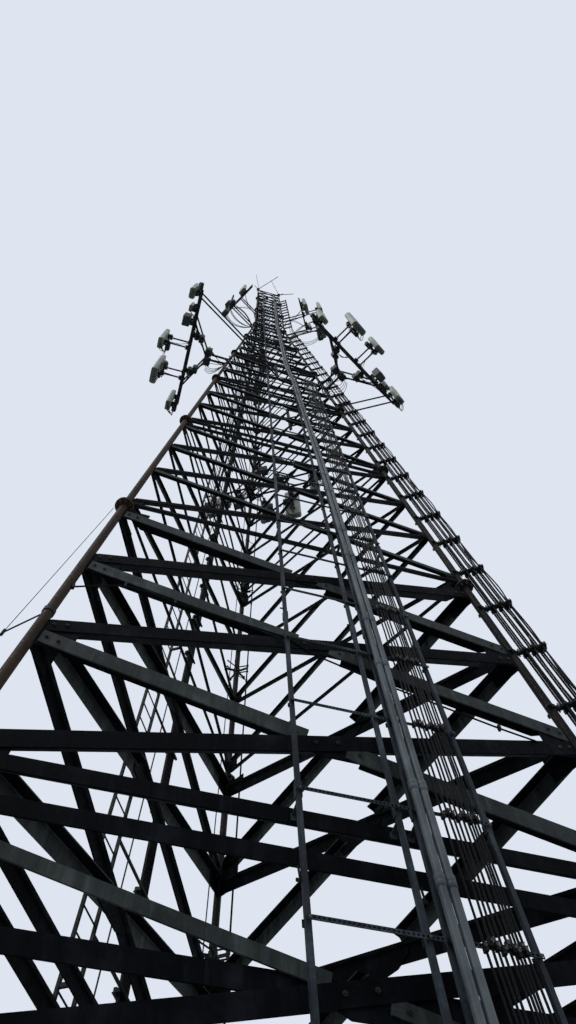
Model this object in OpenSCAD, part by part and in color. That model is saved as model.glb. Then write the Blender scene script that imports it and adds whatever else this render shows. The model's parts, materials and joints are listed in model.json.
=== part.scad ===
// Three-legged lattice cell tower, a 1:2 scale model. All sizes are those of the model.
// The origin is under the back leg's base plate, and the tower's axis stands in front of it.

/* [Tower] */
// Height of one leg section, flange to flange
section_h = 3048; // [2400:1:3600]
// Number of sections from the ground to the top
sections = 10; // [8:1:12]
// Number of lower sections that taper
tapered = 7; // [5:1:8]
// Distance from the tower's axis to a leg at the ground
base_r = 2099; // [1800:1:2400]
// Distance from the tower's axis to a leg in the straight top
top_r = 478; // [380:1:560]
// Crossed panels in one section of one side
panels = 3; // [2:1:4]

/* [Legs] */
// Leg radius in the lowest and in the highest section
leg_r = [31, 17]; // [15:1:45]
// Wall of the leg pipe
leg_wall = 6; // [4:0.5:10]
// Radius of a leg flange over the leg radius
flange_over = 44; // [30:1:60]
// Thickness of one leg flange
flange_t = 13; // [8:1:20]
// Width of the base plate
plate_w = 300; // [260:1:400]
// Thickness of the base plate
plate_t = 22; // [16:1:36]
// Radius of the anchor bolt circle
anchor_circle_r = 105; // [95:1:120]
// Radius of an anchor bolt hole
anchor_hole_r = 9; // [6:0.5:12]
// Anchor bolts in one base plate
anchor_bolts = 6; // [4:1:8]

/* [Bracing] */
// Number of lower sections with heavy braces
heavy = 2; // [1:1:4]
// Width of the brace angle in the heavy sections, in the next one and in the highest
brace_w = [110, 50, 36]; // [30:1:120]
// Thickness of the brace angle in the heavy sections, in the next one and in the highest
brace_t = [8, 5, 4]; // [3:0.5:10]
// Thickness of a gusset plate
gusset_t = 8; // [5:0.5:12]
// Height of the lowest panel joint over a flange
joint_over = 170; // [120:1:240]
// Depth of the highest panel joint under a flange, for the lowest, the second and the higher sections
joint_under = [245, 147, 235]; // [90:1:280]
// Height of a cross bar over a flange, and depth of one under it
cross_place = [82, 137]; // [60:1:180]

/* [Front cable ladder] */
// Width of a ladder rail
rail_w = 22; // [14:1:30]
// Distance between ladder rungs
rung_gap = 625; // [500:1:800]
// Places of the rails across the front side
rails_x = [-195, 245, 325, 665]; // [-300:1:800]
// Radius of a conduit
conduit_r = 18; // [12:1:24]
// Radius of a coax cable
coax_r = 7; // [5:0.5:10]
// Coax cables on the front ladder
front_coax = 9; // [4:1:10]

/* [Antenna levels] */
// Height of the lower, middle and upper antenna frames
level_z = [14000, 20500, 23500]; // [12000:1:27000]
// Turn of the lower sectors from their legs
sector_turn = -30; // [-40:1:0]
// Distance from the leg to the face pipe of a lower, middle and upper frame
level_reach = [725, 825, 640]; // [500:1:900]
// Length of the face pipe of a lower frame
face_l = 2130; // [1600:1:2400]
// Length of the face pipe of an upper frame
upper_face_l = 1000; // [700:1:1300]
// Height between a frame's two levels of pipes
face_gap = 500; // [300:1:700]
// Radius of a face pipe
face_r = 19; // [14:1:26]
// Radius of an antenna mast pipe
mast_r = 18; // [14:1:26]
// Length of the tall pole on a middle frame
pole_l = 3500; // [2400:1:4000]

/* [Hidden] */
fit = 0.3;
cable_gap = 1.2;
legs = [90, 210, 330];
side_turns = [240, 0, 120];
taper = (base_r - top_r) / tapered;
leg_lean = atan(taper / section_h);
side_lean = atan(taper / 2 / section_h);
tower_h = sections * section_h;
kink_z = tapered * section_h;

// Legs: reach of the cuts, ribs over the base plate, and the gap between a leg and a brace
cut_l = 200;
rib_h = 90;
rib_t = 8;
leg_gap = 14;
rib_foot_r = anchor_circle_r - 2 * anchor_hole_r;
rib_toe_h = 15;
rib_bite = 3;
rib_head = 8;

// Bracing, in shares of the brace's width: cross bars, gussets, the gap and the plate at a crossing
cross_share = 0.8;
gusset_l_share = 1.7;
gusset_h_share = 0.75;
gusset_cross_share = 0.3;
joint_lift_share = 0.4;
crossing_gap_share = 0.94;
crossing_reach_share = 3;
plate_fall = [-1.7, 2.2];
plate_over = [0.2, -0.3];
plate_along = [0.5, -0.55, -1.2];
plate_across = [-0.7, -0.1];
side_reach = 6000;
mid_bar_section = 0;
lone_bar_section = 1;
side_gap = 2;
seat = 1;

// Front ladder: its plane, its rungs, and where it ends
ladder_out = 91;
rung_t = 16;
rung_h = 20;
rung_over = 20;
rung_foot_z = 712;
rung_out = ladder_out + rail_w / 2 + rung_t;
wide_top_z = 13700;
ladder_breaks = [150, wide_top_z, kink_z, 27600];
ladder_top_z = ladder_breaks[3];
stay_h = 24;
conduit_x = [332, 375];
conduit_route = [
    [5000, 0], [8000, -22], [11000, -77], [12900, -107],
    [14500, -185], [kink_z, -185], [26500, -185]
];
coax_x = 442;
coax_pitch = 20;
cable_foot_z = 120;

// Right leg: its cable brackets and cables, each with its place out from the leg and its top
bracket_foot_z = 700;
bracket_l = 245;
bracket_w = 36;
bracket_t = 18;
bracket_over = 9;
bracket_h = 30;
leg_cables = [
    [84, 13400], [100, 13400], [116, 20000], [146, 13400],
    [162, 23000], [192, 13400], [208, 28600], [232, 28600]
];

// Left rear side: climbing ladder with a guide bar, and a group of cables that nears it with height
climb_x = [20, 205];
climb_w = 18;
climb_breaks = [150, kink_z, 27600];
climb_rung_r = 5;
climb_rung_gap = 152;
climb_rung_foot = 80;
guide_x = -140;
guide_w = 7;
left_coax = 6;
left_coax_route = [[120, -610], [3450, -550], [6100, -450], [14000, -290], [20300, -200]];
left_bar_over = 30;
left_bar_foot_z = 400;

// Back leg: the safety cable beside it
safety_place = [52, 66];
safety_r = 5;

// Frames: clamps, arms, ties and the masts they carry
clamp_over = 14;
clamp_t = [80, 60];
arm_r = [20, 15, 16];
apex_out = 375;
apex_r = 26;
arm_spread = 605;
tie_r = 14;
tie_place = 1010;
post_w = [50, 32];
post_z = [13560, 14820];
post_out = gusset_t / 2 + brace_t[1] + fit;
apex_over = 60;
lug_h = 30;
mast_arm_r = 14;
mast_over = 80;
bracket_reach = 28;
pole_r = 25;
pole_rise = 220;
radio_size = [120, 120, 220];
panel_h_share = 1 / 3;

// Masts: leg, across, out from the face pipe, and the panel's width, height and depth
lower_masts = [
    [-940, 0, 180, 820, 90],
    [-440, 325, 290, 1150, 110],
    [110, 345, 200, 900, 90],
    [540, 0, 170, 420, 120],
    [770, 0, 120, 380, 60],
    [1045, 0, 190, 760, 95]
];
radio_mast = 3;
upper_masts = [
    [0, -235, 0, 300, 1300, 100], [0, 300, 0, 150, 800, 80],
    [1, 215, 0, 250, 900, 90], [1, -440, 0, 130, 700, 80],
    [2, -235, 0, 330, 1400, 100], [2, -20, 400, 330, 1300, 100], [2, 380, 0, 130, 700, 80]
];
pole_panels = [[0, 300, 1300, 100], [2, 330, 1500, 100]];

// Top: posts, booms, rod and lamps
cap_over = 20;
cap_t = 12;
top_post_r = 14;
top_post_h = 150;
boom_z = 110;
boom_r = 11;
strut_r = 8;
long_boom = [630, -650, 0];
short_boom = [560, -190, 0];
stub = [150, 34];
spider_z = 40;
hub_over = -10;
stub_z = 70;
tie_share = 2 / 3;
rod_r = 7;
rod_run = [-225, -390, 1000];
lamp_r = [30, 62];
lamp_h = [84, 150];

// Distance from the tower's axis to a leg at a height
function radius_at(z) = max(top_r, base_r - taper * z / section_h);
// A value that runs evenly from the lowest section to the highest
function ramp(ends, k) = ends[0] + (ends[1] - ends[0]) * k / (sections - 1);
// A brace size: one for the heavy sections, then a run to the highest
function brace_size(sizes, k) = k < heavy ? sizes[0]
    : sizes[1] + (sizes[2] - sizes[1]) * (k - heavy) / (sections - 1 - heavy);
function leg_r_at(z) = ramp(leg_r, min(sections - 1, floor(z / section_h)));
// Half the width of a side, leg centre to leg centre, at a height
function half_side(z) = radius_at(z) * cos(30);

// Puts the tower's axis in place
module on_axis() {
    translate([0, -base_r, 0]) children();
}

// The frame of a leg at a height, with +X outward and +Z along the leg
module on_leg(angle, z) {
    lean = z < tapered * section_h ? leg_lean : 0;
    rotate([0, 0, angle]) translate([radius_at(z), 0, z]) rotate([0, -lean, 0]) children();
}

// The frame of a side at a height, with +X to the right seen from outside and -Y outward
module on_side(turn, z) {
    lean = z < tapered * section_h ? side_lean : 0;
    rotate([0, 0, turn]) translate([0, -radius_at(z) / 2, z]) rotate([-lean, 0, 0]) children();
}

// A pipe between two points
module pipe(a, b, r) {
    d = b - a;
    flat = norm([d.x, d.y]);
    translate(a) rotate([0, 0, atan2(d.y, d.x)]) rotate([0, atan2(flat, d.z), 0])
        cylinder(r = r, h = norm(d), $fn = 32);
}

// A cable through points that climb, with flat rings
module cable(points, r, sides = 8) {
    rings = [for (p = points) [for (i = [0 : sides - 1])
        p + r * [cos(360 * i / sides), sin(360 * i / sides), 0]]];
    n = len(points);
    walls = [for (k = [0 : n - 2]) for (i = [0 : sides - 1])
        let (j = (i + 1) % sides)
        each [[k * sides + i, (k + 1) * sides + i, (k + 1) * sides + j],
            [k * sides + i, (k + 1) * sides + j, k * sides + j]]];
    ends = [[for (i = [0 : sides - 1]) i], [for (i = [sides - 1 : -1 : 0]) (n - 1) * sides + i]];
    polyhedron(points = [for (ring = rings) each ring], faces = concat(walls, ends));
}

// Base plates, each with its anchor bolt holes
module base_plates() {
    color("gray") on_axis() for (angle = legs) rotate([0, 0, angle]) translate([base_r, 0, 0])
        difference() {
            translate([-plate_w / 2, -plate_w / 2, 0]) cube([plate_w, plate_w, plate_t]);
            for (i = [0 : anchor_bolts - 1]) rotate([0, 0, 360 * (i + 0.5) / anchor_bolts])
                translate([anchor_circle_r, 0, -1]) cylinder(r = anchor_hole_r, h = plate_t + 2, $fn = 32);
        }
}

// A vector turned about Z
function turned(a, p) = [p.x * cos(a) - p.y * sin(a), p.x * sin(a) + p.y * cos(a), p.z];
// A point on a side: across, out from the side's plane, at a height
function side_point(turn, x, out, z) = turned(turn, [x, -radius_at(z) / 2 - out, z]);
// A point beside a leg: out and across from its centre line, at a height
function leg_point(angle, out, across, z) = turned(angle, [radius_at(z) + out, across, z]);
// A point of a lower sector: its own X, Y and Z from the leg at the level's height
function sector_point(i, z, p) = turned(legs[i], [radius_at(z), 0, z] + turned(sector_turn, p));

// Ribs between the lowest leg pipe and its base plate, in the leg's own frame
module foot_ribs(r) {
    for (a = [0 : 90 : 270]) rotate([0, 0, a]) translate([0, rib_t / 2, 0]) rotate([90, 0, 0])
        linear_extrude(rib_t) polygon([
            [r - rib_bite, -plate_t], [rib_foot_r, -plate_t], [rib_foot_r, plate_t + rib_toe_h],
            [r + rib_head, plate_t + rib_h], [r - rib_bite, plate_t + rib_h]
        ]);
}

// One pipe of a leg with its two flanges, from section k's foot to its head
module leg_pipe(angle, k) {
    r = ramp(leg_r, k);
    foot = k * section_h;
    run = section_h / cos(k < tapered ? leg_lean : 0);
    below = k == 0 ? cut_l : 0;
    above = k == tapered - 1 ? cut_l : 0;
    difference() {
        union() {
            on_leg(angle, foot) {
                translate([0, 0, -below]) cylinder(r = r, h = run + below + above, $fn = 48);
                if (k == 0) foot_ribs(r);
                else cylinder(r = r + flange_over, h = flange_t, $fn = 48);
                if (above == 0) translate([0, 0, run - flange_t])
                    cylinder(r = r + flange_over, h = flange_t, $fn = 48);
            }
            if (above > 0) rotate([0, 0, angle]) translate([top_r, 0, foot + section_h - flange_t])
                cylinder(r = r + flange_over, h = flange_t, $fn = 48);
        }
        on_leg(angle, foot) translate([0, 0, -2 * cut_l])
            cylinder(r = r - leg_wall, h = run + 4 * cut_l, $fn = 48);
        if (below > 0) rotate([0, 0, angle]) translate([base_r - cut_l, -cut_l, plate_t - 2 * cut_l])
            cube(2 * cut_l);
        if (above > 0) rotate([0, 0, angle]) translate([top_r - cut_l, -cut_l, foot + section_h])
            cube(2 * cut_l);
    }
}

module leg_section(k) {
    color("dimgray") on_axis() for (angle = legs) leg_pipe(angle, k);
}

// An angle bar from a to b in the plane of a side, its inward flange on top
module angle_bar(a, b, w, t, front) {
    d = b - a;
    translate([a.x, 0, a.y]) rotate([0, -atan2(d.y, d.x), 0]) rotate([90, 0, 90])
        linear_extrude(norm(d)) polygon([
            [front, -w / 2], [front + t, -w / 2], [front + t, w / 2 - t],
            [front + w, w / 2 - t], [front + w, w / 2], [front, w / 2]
        ]);
}

// Where a bar between two joints starts and ends so that it clears both legs
module brace(a, b, w, t, front, r) {
    d = (b - a) / norm(b - a);
    tilt = abs(asin(d.y)) + atan(cos(30) * tan(leg_lean));
    short = (r + leg_gap + w / 2 * sin(tilt)) / cos(tilt);
    angle_bar(a + short * d, b - short * d, w, t, front);
}

// The height at which the bars of a panel cross, and the angle at which they climb
function crossing_z(low_z, high_z) =
    low_z + (high_z - low_z) * half_side(low_z) / (half_side(low_z) + half_side(high_z));
function climb_angle(low_z, high_z) = atan2(high_z - low_z, half_side(low_z) + half_side(high_z));

// What is left out of a falling bar where the rising bar crosses it
module crossing_cut(rise, w) {
    reach = crossing_reach_share * w;
    rotate([0, -rise, 0]) translate([-reach, -reach, -w / 2 - fit])
        cube([2 * reach, 2 * reach, w + 2 * fit]);
    rotate([0, rise, 0]) translate([-crossing_gap_share * w, -reach, -w])
        cube([2 * crossing_gap_share * w, 2 * reach, 2 * w]);
}

// The plate behind a crossing, which shows on the lower side of the rising bar only
module crossing_plate(rise, w) {
    along = [cos(rise), sin(rise)];
    across = [-sin(rise), cos(rise)];
    fall = [cos(rise), -sin(rise)];
    over = [sin(rise), cos(rise)];
    translate([0, gusset_t / 2, 0]) rotate([90, 0, 0]) linear_extrude(gusset_t) polygon(w * [
        plate_fall[0] * fall, plate_along[0] * along,
        plate_fall[1] * fall + plate_over[0] * over, plate_fall[1] * fall + plate_over[1] * over,
        plate_along[1] * along + plate_across[0] * across, plate_along[2] * along + plate_across[1] * across
    ]);
}

// Gusset plates on both legs, between two heights
module gussets(low, high, foot, w, r) {
    z = (low + high) / 2;
    lean = foot < kink_z ? atan(cos(30) * tan(leg_lean)) : 0;
    for (s = [-1, 1]) translate([s * half_side(z), 0, (z - foot) / cos(side_lean)])
        rotate([0, -s * lean, 0]) mirror([s > 0 ? 1 : 0, 0, 0])
            translate([r + fit, -gusset_t / 2, (low - high) / 2])
                cube([gusset_l_share * w, gusset_t, high - low]);
}

// One crossed panel: a rising bar, a falling bar in two halves, and the plate that joins them
module crossed_panel(low_z, high_z, foot, slant, w, t, r) {
    front = -gusset_t / 2 + seat - t;
    low = [half_side(low_z), (low_z - foot) / slant];
    high = [-half_side(high_z), (high_z - foot) / slant];
    rise = climb_angle(low_z, high_z);
    brace([-low.x, low.y], [-high.x, high.y], w, t, front, r);
    difference() {
        brace(high, low, w, t, front, r);
        translate([0, 0, (crossing_z(low_z, high_z) - foot) / slant]) crossing_cut(rise, w);
    }
    translate([0, 0, (crossing_z(low_z, high_z) - foot) / slant]) crossing_plate(rise, w);
}

// A level bar between the legs at a height, on the outer or the inner face of the gusset plates
module cross_bar(z, foot, slant, w, t, front, r) {
    brace([-half_side(z), (z - foot) / slant], [half_side(z), (z - foot) / slant], w, t, front, r);
}

// The crossed bars, cross bars and gussets of one section of one side
module side_section(k) {
    foot = k * section_h;
    r = ramp(leg_r, k);
    w = brace_size(brace_w, k);
    t = brace_size(brace_t, k);
    cross_w = cross_share * w;
    lift = joint_lift_share * w;
    bite = gusset_h_share * w;
    slant = foot < kink_z ? cos(side_lean) : 1;
    under = joint_under[min(k, 2)];
    joints = [for (i = [0 : panels])
        foot + joint_over + (section_h - joint_over - under) * i / panels];
    ends = [for (i = [0 : panels - 1])
        [joints[i] + (i > 0 ? lift : 0), joints[i + 1] - (i < panels - 1 ? lift : 0)]];
    over_z = foot + cross_place[0];
    under_z = foot + section_h - cross_place[1];
    for (e = ends) crossed_panel(e[0], e[1], foot, slant, w, t, r);
    cross_bar(over_z, foot, slant, cross_w, t, -gusset_t / 2 + seat - t, r);
    gussets(over_z - gusset_cross_share * cross_w, joints[0] + bite, foot, w, r);
    for (i = [1 : panels - 1]) gussets(joints[i] - lift - bite, joints[i] + lift + bite, foot, w, r);
    if (k == lone_bar_section) gussets(joints[panels] - bite, joints[panels] + bite, foot, w, r);
    else {
        cross_bar(under_z, foot, slant, cross_w, t, -gusset_t / 2 + seat - t, r);
        gussets(joints[panels] - bite, under_z + gusset_cross_share * cross_w, foot, w, r);
    }
    if (k == mid_bar_section) {
        mid_z = crossing_z(ends[panels - 1][0], ends[panels - 1][1]);
        cross_bar(mid_z, foot, slant, cross_w, t, gusset_t / 2 - seat, r);
        gussets(mid_z - bite, mid_z + bite, foot, w, r);
    }
}

// The third of the tower that belongs to one side, which its bars' inward flanges are cut to
module side_share(turn) {
    rotate([0, 0, turn]) linear_extrude(tower_h)
        polygon([
            [0, -side_gap],
            [side_reach * cos(30), -side_gap - side_reach / 2],
            [-side_reach * cos(30), -side_gap - side_reach / 2]
        ]);
}

module side_bracing(turn, first, last) {
    color("darkslategray") on_axis() for (k = [first : last]) intersection() {
        on_side(turn, k * section_h) side_section(k);
        side_share(turn);
    }
}

// A rail that climbs a side in lengths with butted ends, w wide and deep, centred at x and out
module side_rail(turn, x, out, w, breaks) {
    for (k = [0 : len(breaks) - 2]) {
        low = breaks[k] + fit / 2;
        high = breaks[k + 1] - fit / 2;
        near = [for (z = [low, high]) -radius_at(z) / 2 - out];
        rotate([0, 0, turn]) translate([x - w / 2, 0, 0]) rotate([90, 0, 90]) linear_extrude(w)
            polygon([
                [near[0] + w / 2, low], [near[1] + w / 2, high],
                [near[1] - w / 2, high], [near[0] - w / 2, low]
            ]);
    }
}

// Stays between a ladder's rail and the cross bar over each flange
module side_stays(turn, x, w, top_z) {
    for (k = [0 : floor(top_z / section_h) - 1]) {
        near = gusset_t / 2 - seat + brace_size(brace_t, k) + fit;
        far = ladder_out - w / 2 + seat;
        level = cross_place[0] / (k < tapered ? cos(side_lean) : 1);
        on_side(turn, k * section_h) translate([x - w / 2 + 2 * seat, -far, level - stay_h / 2])
            cube([w - 4 * seat, far - near, stay_h]);
    }
}

// The bar ladder on the front side, wide below and narrow above
module front_cable_ladder() {
    color("silver") on_axis() {
        for (i = [0 : len(rails_x) - 1]) {
            breaks = i < 2 ? ladder_breaks : [ladder_breaks[0], wide_top_z];
            side_rail(0, rails_x[i], ladder_out, rail_w, breaks);
            side_stays(0, rails_x[i], rail_w, breaks[len(breaks) - 1]);
        }
        for (z = [rung_foot_z : rung_gap : ladder_top_z - rung_h]) {
            right = rails_x[z < wide_top_z ? 3 : 1];
            translate(side_point(0, rails_x[0] - rung_over, rung_out, z))
                cube([right - rails_x[0] + 2 * rung_over, rung_t + seat, rung_h]);
        }
    }
}

module front_conduits() {
    out = rung_out + conduit_r + cable_gap;
    color("gainsboro") on_axis() for (x = conduit_x)
        cable([for (p = concat([[cable_foot_z, 0]], conduit_route)) side_point(0, x + p[1], out, p[0])],
            conduit_r, 12);
}

module front_coax_cables() {
    out = rung_out + coax_r + cable_gap;
    color("black") on_axis() for (i = [0 : front_coax - 1])
        cable([
            side_point(0, coax_x + coax_pitch * i, out, cable_foot_z),
            side_point(0, coax_x + coax_pitch * i, out, wide_top_z - 100)
        ], coax_r);
}

// A clamp around a leg, open towards the bracing, and what it must leave free
module clamp_body(i, z, tall, over) {
    on_leg(legs[i], z) translate([0, 0, -tall / 2]) cylinder(r = leg_r_at(z) + over, h = tall, $fn = 32);
}
module clamp_bore(i, z, tall) {
    r = leg_r_at(z);
    on_leg(legs[i], z) translate([0, 0, -tall]) {
        cylinder(r = r + fit, h = 2 * tall, $fn = 32);
        translate([-3 * r, -3 * r, 0]) cube([2.5 * r, 6 * r, 2 * tall]);
    }
}

// Bars that stand out from the right leg and carry its cables
module right_leg_cable_brackets() {
    last_z = leg_cables[len(leg_cables) - 1][1];
    color("gray") on_axis() for (z = [bracket_foot_z : rung_gap : last_z])
        if (abs(z - section_h * round(z / section_h)) > bracket_h) difference() {
            union() {
                clamp_body(2, z, bracket_h, bracket_over);
                on_leg(legs[2], z) translate([0, -bracket_w / 2, -bracket_t / 2])
                    cube([bracket_l, bracket_w, bracket_t]);
            }
            clamp_bore(2, z, bracket_h);
        }
}

module right_leg_coax_cables() {
    across = bracket_w / 2 + coax_r + cable_gap / 2;
    color("black") on_axis() for (c = leg_cables) {
        mid = c[1] > kink_z ? [kink_z] : [];
        cable([for (z = concat([cable_foot_z], mid, [c[1]])) leg_point(legs[2], c[0], across, z)], coax_r);
    }
}

// The climbing ladder of the left rear side, with bars that carry the cables beside it
module left_climbing_ladder() {
    turn = side_turns[0];
    color("silver") on_axis() {
        for (x = climb_x) {
            side_rail(turn, x, ladder_out, climb_w, climb_breaks);
            side_stays(turn, x, climb_w, climb_breaks[2]);
        }
        for (z = [climb_breaks[0] + climb_rung_foot : climb_rung_gap : climb_breaks[2] - climb_rung_foot])
            translate(side_point(turn, climb_x[0], ladder_out, z)) rotate([0, 0, turn]) rotate([0, 90, 0])
                cylinder(r = climb_rung_r, h = climb_x[1] - climb_x[0], $fn = 6);
        side_rail(turn, guide_x, ladder_out - climb_w / 4, guide_w, [climb_breaks[0], left_coax_top()]);
        for (z = [left_bar_foot_z : rung_gap : left_coax_top()]) {
            left = left_coax_at(z) - left_bar_over;
            translate(side_point(turn, left, ladder_out + climb_w / 2, z)) rotate([0, 0, turn])
                cube([climb_x[0] - left, climb_w - 4 * seat, rung_h - 4 * seat]);
        }
    }
}

module left_coax_cables() {
    out = ladder_out + climb_w / 2 + coax_r + cable_gap;
    color("black") on_axis() for (i = [0 : left_coax - 1])
        cable([for (p = left_coax_route)
            side_point(side_turns[0], p[1] + coax_pitch * i, out, p[0])], coax_r);
}
// Where the group of cables on the left rear side ends, and its place across at a height
function left_coax_top() = left_coax_route[len(left_coax_route) - 1][0];
function left_coax_at(z) = lookup(z, left_coax_route);

module back_leg_safety_cable() {
    color("silver") on_axis()
        cable([for (z = [plate_t, kink_z, climb_breaks[2]])
            leg_point(legs[0], safety_place.x, safety_place.y, z)], safety_r);
}

// The frame of one lower sector: origin on the leg, +X the way the sector faces
module on_sector(i, z) {
    rotate([0, 0, legs[i]]) translate([radius_at(z), 0, z]) rotate([0, 0, sector_turn]) children();
}
module on_radial(i, z) {
    rotate([0, 0, legs[i]]) translate([radius_at(z), 0, z]) children();
}

// A mast pipe with two panel brackets, and arms back to the face pipe where it stands off
module mast(out, panel_h) {
    mast_h = max(panel_h, face_gap) + mast_over;
    translate([0, 0, -mast_h / 2]) cylinder(r = mast_r, h = mast_h, $fn = 32);
    for (s = [-1, 1]) {
        translate([0, -mast_r, s * panel_h * panel_h_share - lug_h / 2])
            cube([mast_r + bracket_reach, 2 * mast_r, lug_h]);
        if (out > 0) pipe([-out - mast_r, 0, s * face_gap / 2], [0, 0, s * face_gap / 2], mast_arm_r);
    }
}

// A panel antenna with bevelled edges, its back at x = 0, facing +X
module panel(w, h, d) {
    bevel = d / 3;
    translate([0, 0, -h / 2]) linear_extrude(h) polygon([
        [0, -w / 2 + bevel / 2], [0, w / 2 - bevel / 2], [bevel / 2, w / 2],
        [d - bevel, w / 2], [d, w / 2 - bevel], [d, -w / 2 + bevel],
        [d - bevel, -w / 2], [bevel / 2, -w / 2]
    ]);
}

mast_x = face_r + mast_r + fit;
panel_x = mast_x + mast_r + bracket_reach + fit;

// The upright apex pipe and the face pipe of a lower frame,
// grown by a clearance where ends are coped to them
module apex_pipe(over = 0) {
    reach = face_gap / 2 + apex_over;
    pipe([apex_out, 0, -reach], [apex_out, 0, reach], apex_r + over);
}
module face_pipe(level, over = 0) {
    pipe([level_reach[0], -face_l / 2, level], [level_reach[0], face_l / 2, level], face_r + over);
}
module tie_post(i, over = 0) {
    foot = floor(post_z[0] / section_h) * section_h;
    on_side(side_turns[i], foot) translate([-post_w[0] / 2, -post_out - post_w[1] - over, post_z[0] - foot])
        cube([post_w[0], post_w[1] + over, post_z[1] - post_z[0]]);
}

// One level of a lower frame: its clamp and arm, a pair of arms to the face pipe, and a tie to the side
module lower_arms(i, z, level) {
    difference() {
        union() {
            clamp_body(i, z + level, clamp_t[0], clamp_over);
            pipe(leg_point(legs[i], 0, 0, z + level), sector_point(i, z, [apex_out, 0, level]), arm_r[0]);
        }
        clamp_bore(i, z + level, clamp_t[0]);
        on_sector(i, z) apex_pipe(fit);
    }
    difference() {
        on_sector(i, z) for (side = [-1, 1])
            pipe([apex_out, 0, level], [level_reach[0], side * arm_spread, level], arm_r[1]);
        on_sector(i, z) {
            apex_pipe(fit);
            face_pipe(level, fit);
        }
    }
    difference() {
        pipe(sector_point(i, z, [level_reach[0], tie_place, level]),
            side_point(side_turns[i], 0, post_out + tie_r + seat, z + level), tie_r);
        on_sector(i, z) face_pipe(level, fit);
        tie_post(i, fit);
    }
    on_sector(i, z) face_pipe(level);
}

module lower_frame(i) {
    z = level_z[0];
    color("slategray") on_axis() {
        for (s = [-1, 1]) lower_arms(i, z, s * face_gap / 2);
        on_sector(i, z) apex_pipe();
        tie_post(i);
        on_sector(i, z) for (m = lower_masts) translate([level_reach[0] + mast_x + m[1], m[0], 0])
            mast(m[1], m[3]);
    }
}

module lower_antennas(i) {
    color("lightgray") on_axis() on_sector(i, level_z[0]) for (k = [0 : len(lower_masts) - 1]) {
        m = lower_masts[k];
        if (k != radio_mast) translate([level_reach[0] + panel_x + m[1], m[0], 0]) panel(m[2], m[3], m[4]);
    }
}

module lower_radio_units() {
    m = lower_masts[radio_mast];
    color("gray") on_axis() for (i = [0 : 2]) on_sector(i, level_z[0]) {
        translate([level_reach[0] + panel_x + m[1], m[0] - m[2] / 2, -m[3] / 2]) cube([m[4], m[2], m[3]]);
        for (side = [-1, 1]) translate([apex_out, side * (apex_r + radio_size.y / 2 + fit), 0])
            translate(-radio_size / 2) cube(radio_size);
    }
}

// Two radial arms on a leg, clamped to it
module radial_arms(i, z, reach) {
    difference() {
        for (s = [-1, 1]) {
            level = s * face_gap / 2;
            clamp_body(i, z + level, clamp_t[1], clamp_over);
            pipe(leg_point(legs[i], 0, 0, z + level),
                leg_point(legs[i], 0, 0, z) + turned(legs[i], [reach, 0, level]), arm_r[2]);
        }
        for (s = [-1, 1]) clamp_bore(i, z + s * face_gap / 2, clamp_t[1]);
    }
}

// Middle frames: radial arms with a tall pole at their end
module middle_frames() {
    z = level_z[1];
    color("slategray") on_axis() for (i = [0 : 2]) {
        radial_arms(i, z, level_reach[1]);
        on_radial(i, z) translate([level_reach[1], 0, pole_rise - pole_l / 2])
            cylinder(r = pole_r, h = pole_l, $fn = 32);
        for (m = pole_panels) if (m[0] == i) on_radial(i, z) for (s = [-1, 1])
            translate([level_reach[1], -mast_r, s * m[2] * panel_h_share - lug_h / 2])
                cube([pole_r + bracket_reach, 2 * mast_r, lug_h]);
    }
}

module middle_antennas() {
    color("lightgray") on_axis() for (m = pole_panels) on_radial(m[0], level_z[1])
        translate([level_reach[1] + pole_r + bracket_reach + fit, 0, 0]) panel(m[1], m[2], m[3]);
}

// Upper frames: radial arms with a face pipe across their end, and masts on it
module upper_frames() {
    z = level_z[2];
    color("slategray") on_axis() {
        for (i = [0 : 2]) {
            radial_arms(i, z, level_reach[2]);
            on_radial(i, z) for (s = [-1, 1])
                pipe([level_reach[2], -upper_face_l / 2, s * face_gap / 2],
                    [level_reach[2], upper_face_l / 2, s * face_gap / 2], face_r);
        }
        for (m = upper_masts) on_radial(m[0], z) translate([level_reach[2] + mast_x + m[2], m[1], 0])
            mast(m[2], m[4]);
    }
}

module upper_antennas() {
    color("lightgray") on_axis() for (m = upper_masts) on_radial(m[0], level_z[2])
        translate([level_reach[2] + panel_x + m[2], m[1], 0]) panel(m[3], m[4], m[5]);
}

// A point over a leg's head
function head(i, z) = leg_point(legs[i], 0, 0, tower_h) + [0, 0, z];

// Where a stub over a leg ends, and how thick the hub in the middle is
function stub_end(i) = head(i, stub_z) + turned(legs[i], [stub.x, 0, 0]);
function hub_h() = 3 * strut_r;

// Capped posts over the legs, the booms and stubs they carry, and bars to the middle
module top_booms() {
    color("slategray") on_axis() {
        for (i = [0 : 2]) {
            post_h = i == 0 ? top_post_h / 2 : top_post_h;
            translate(head(i, 0)) cylinder(r = leg_r[1] + cap_over, h = cap_t, $fn = 32);
            translate(head(i, 0)) cylinder(r = top_post_r, h = post_h, $fn = 32);
            pipe(head(i, spider_z), [0, 0, tower_h + spider_z], strut_r);
        }
        translate([0, 0, tower_h + spider_z - strut_r])
            cylinder(r = lamp_r[1] + hub_over, h = hub_h(), $fn = 32);
        pipe(head(1, boom_z), head(1, boom_z) + long_boom, boom_r);
        pipe(head(2, boom_z), head(2, boom_z) + short_boom, boom_r);
        pipe(head(2, boom_z), head(1, boom_z) + long_boom * tie_share, strut_r);
        for (i = [1, 2]) pipe(head(i, stub_z), stub_end(i), strut_r);
    }
}

// A thin rod that leans out from the left corner
module lightning_rod() {
    start = head(1, cap_t) + turned(legs[1], [0, leg_r[1] + cap_over + rod_r + fit, -cap_t]);
    color("silver") on_axis() pipe(start, start + rod_run, rod_r);
}

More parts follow.
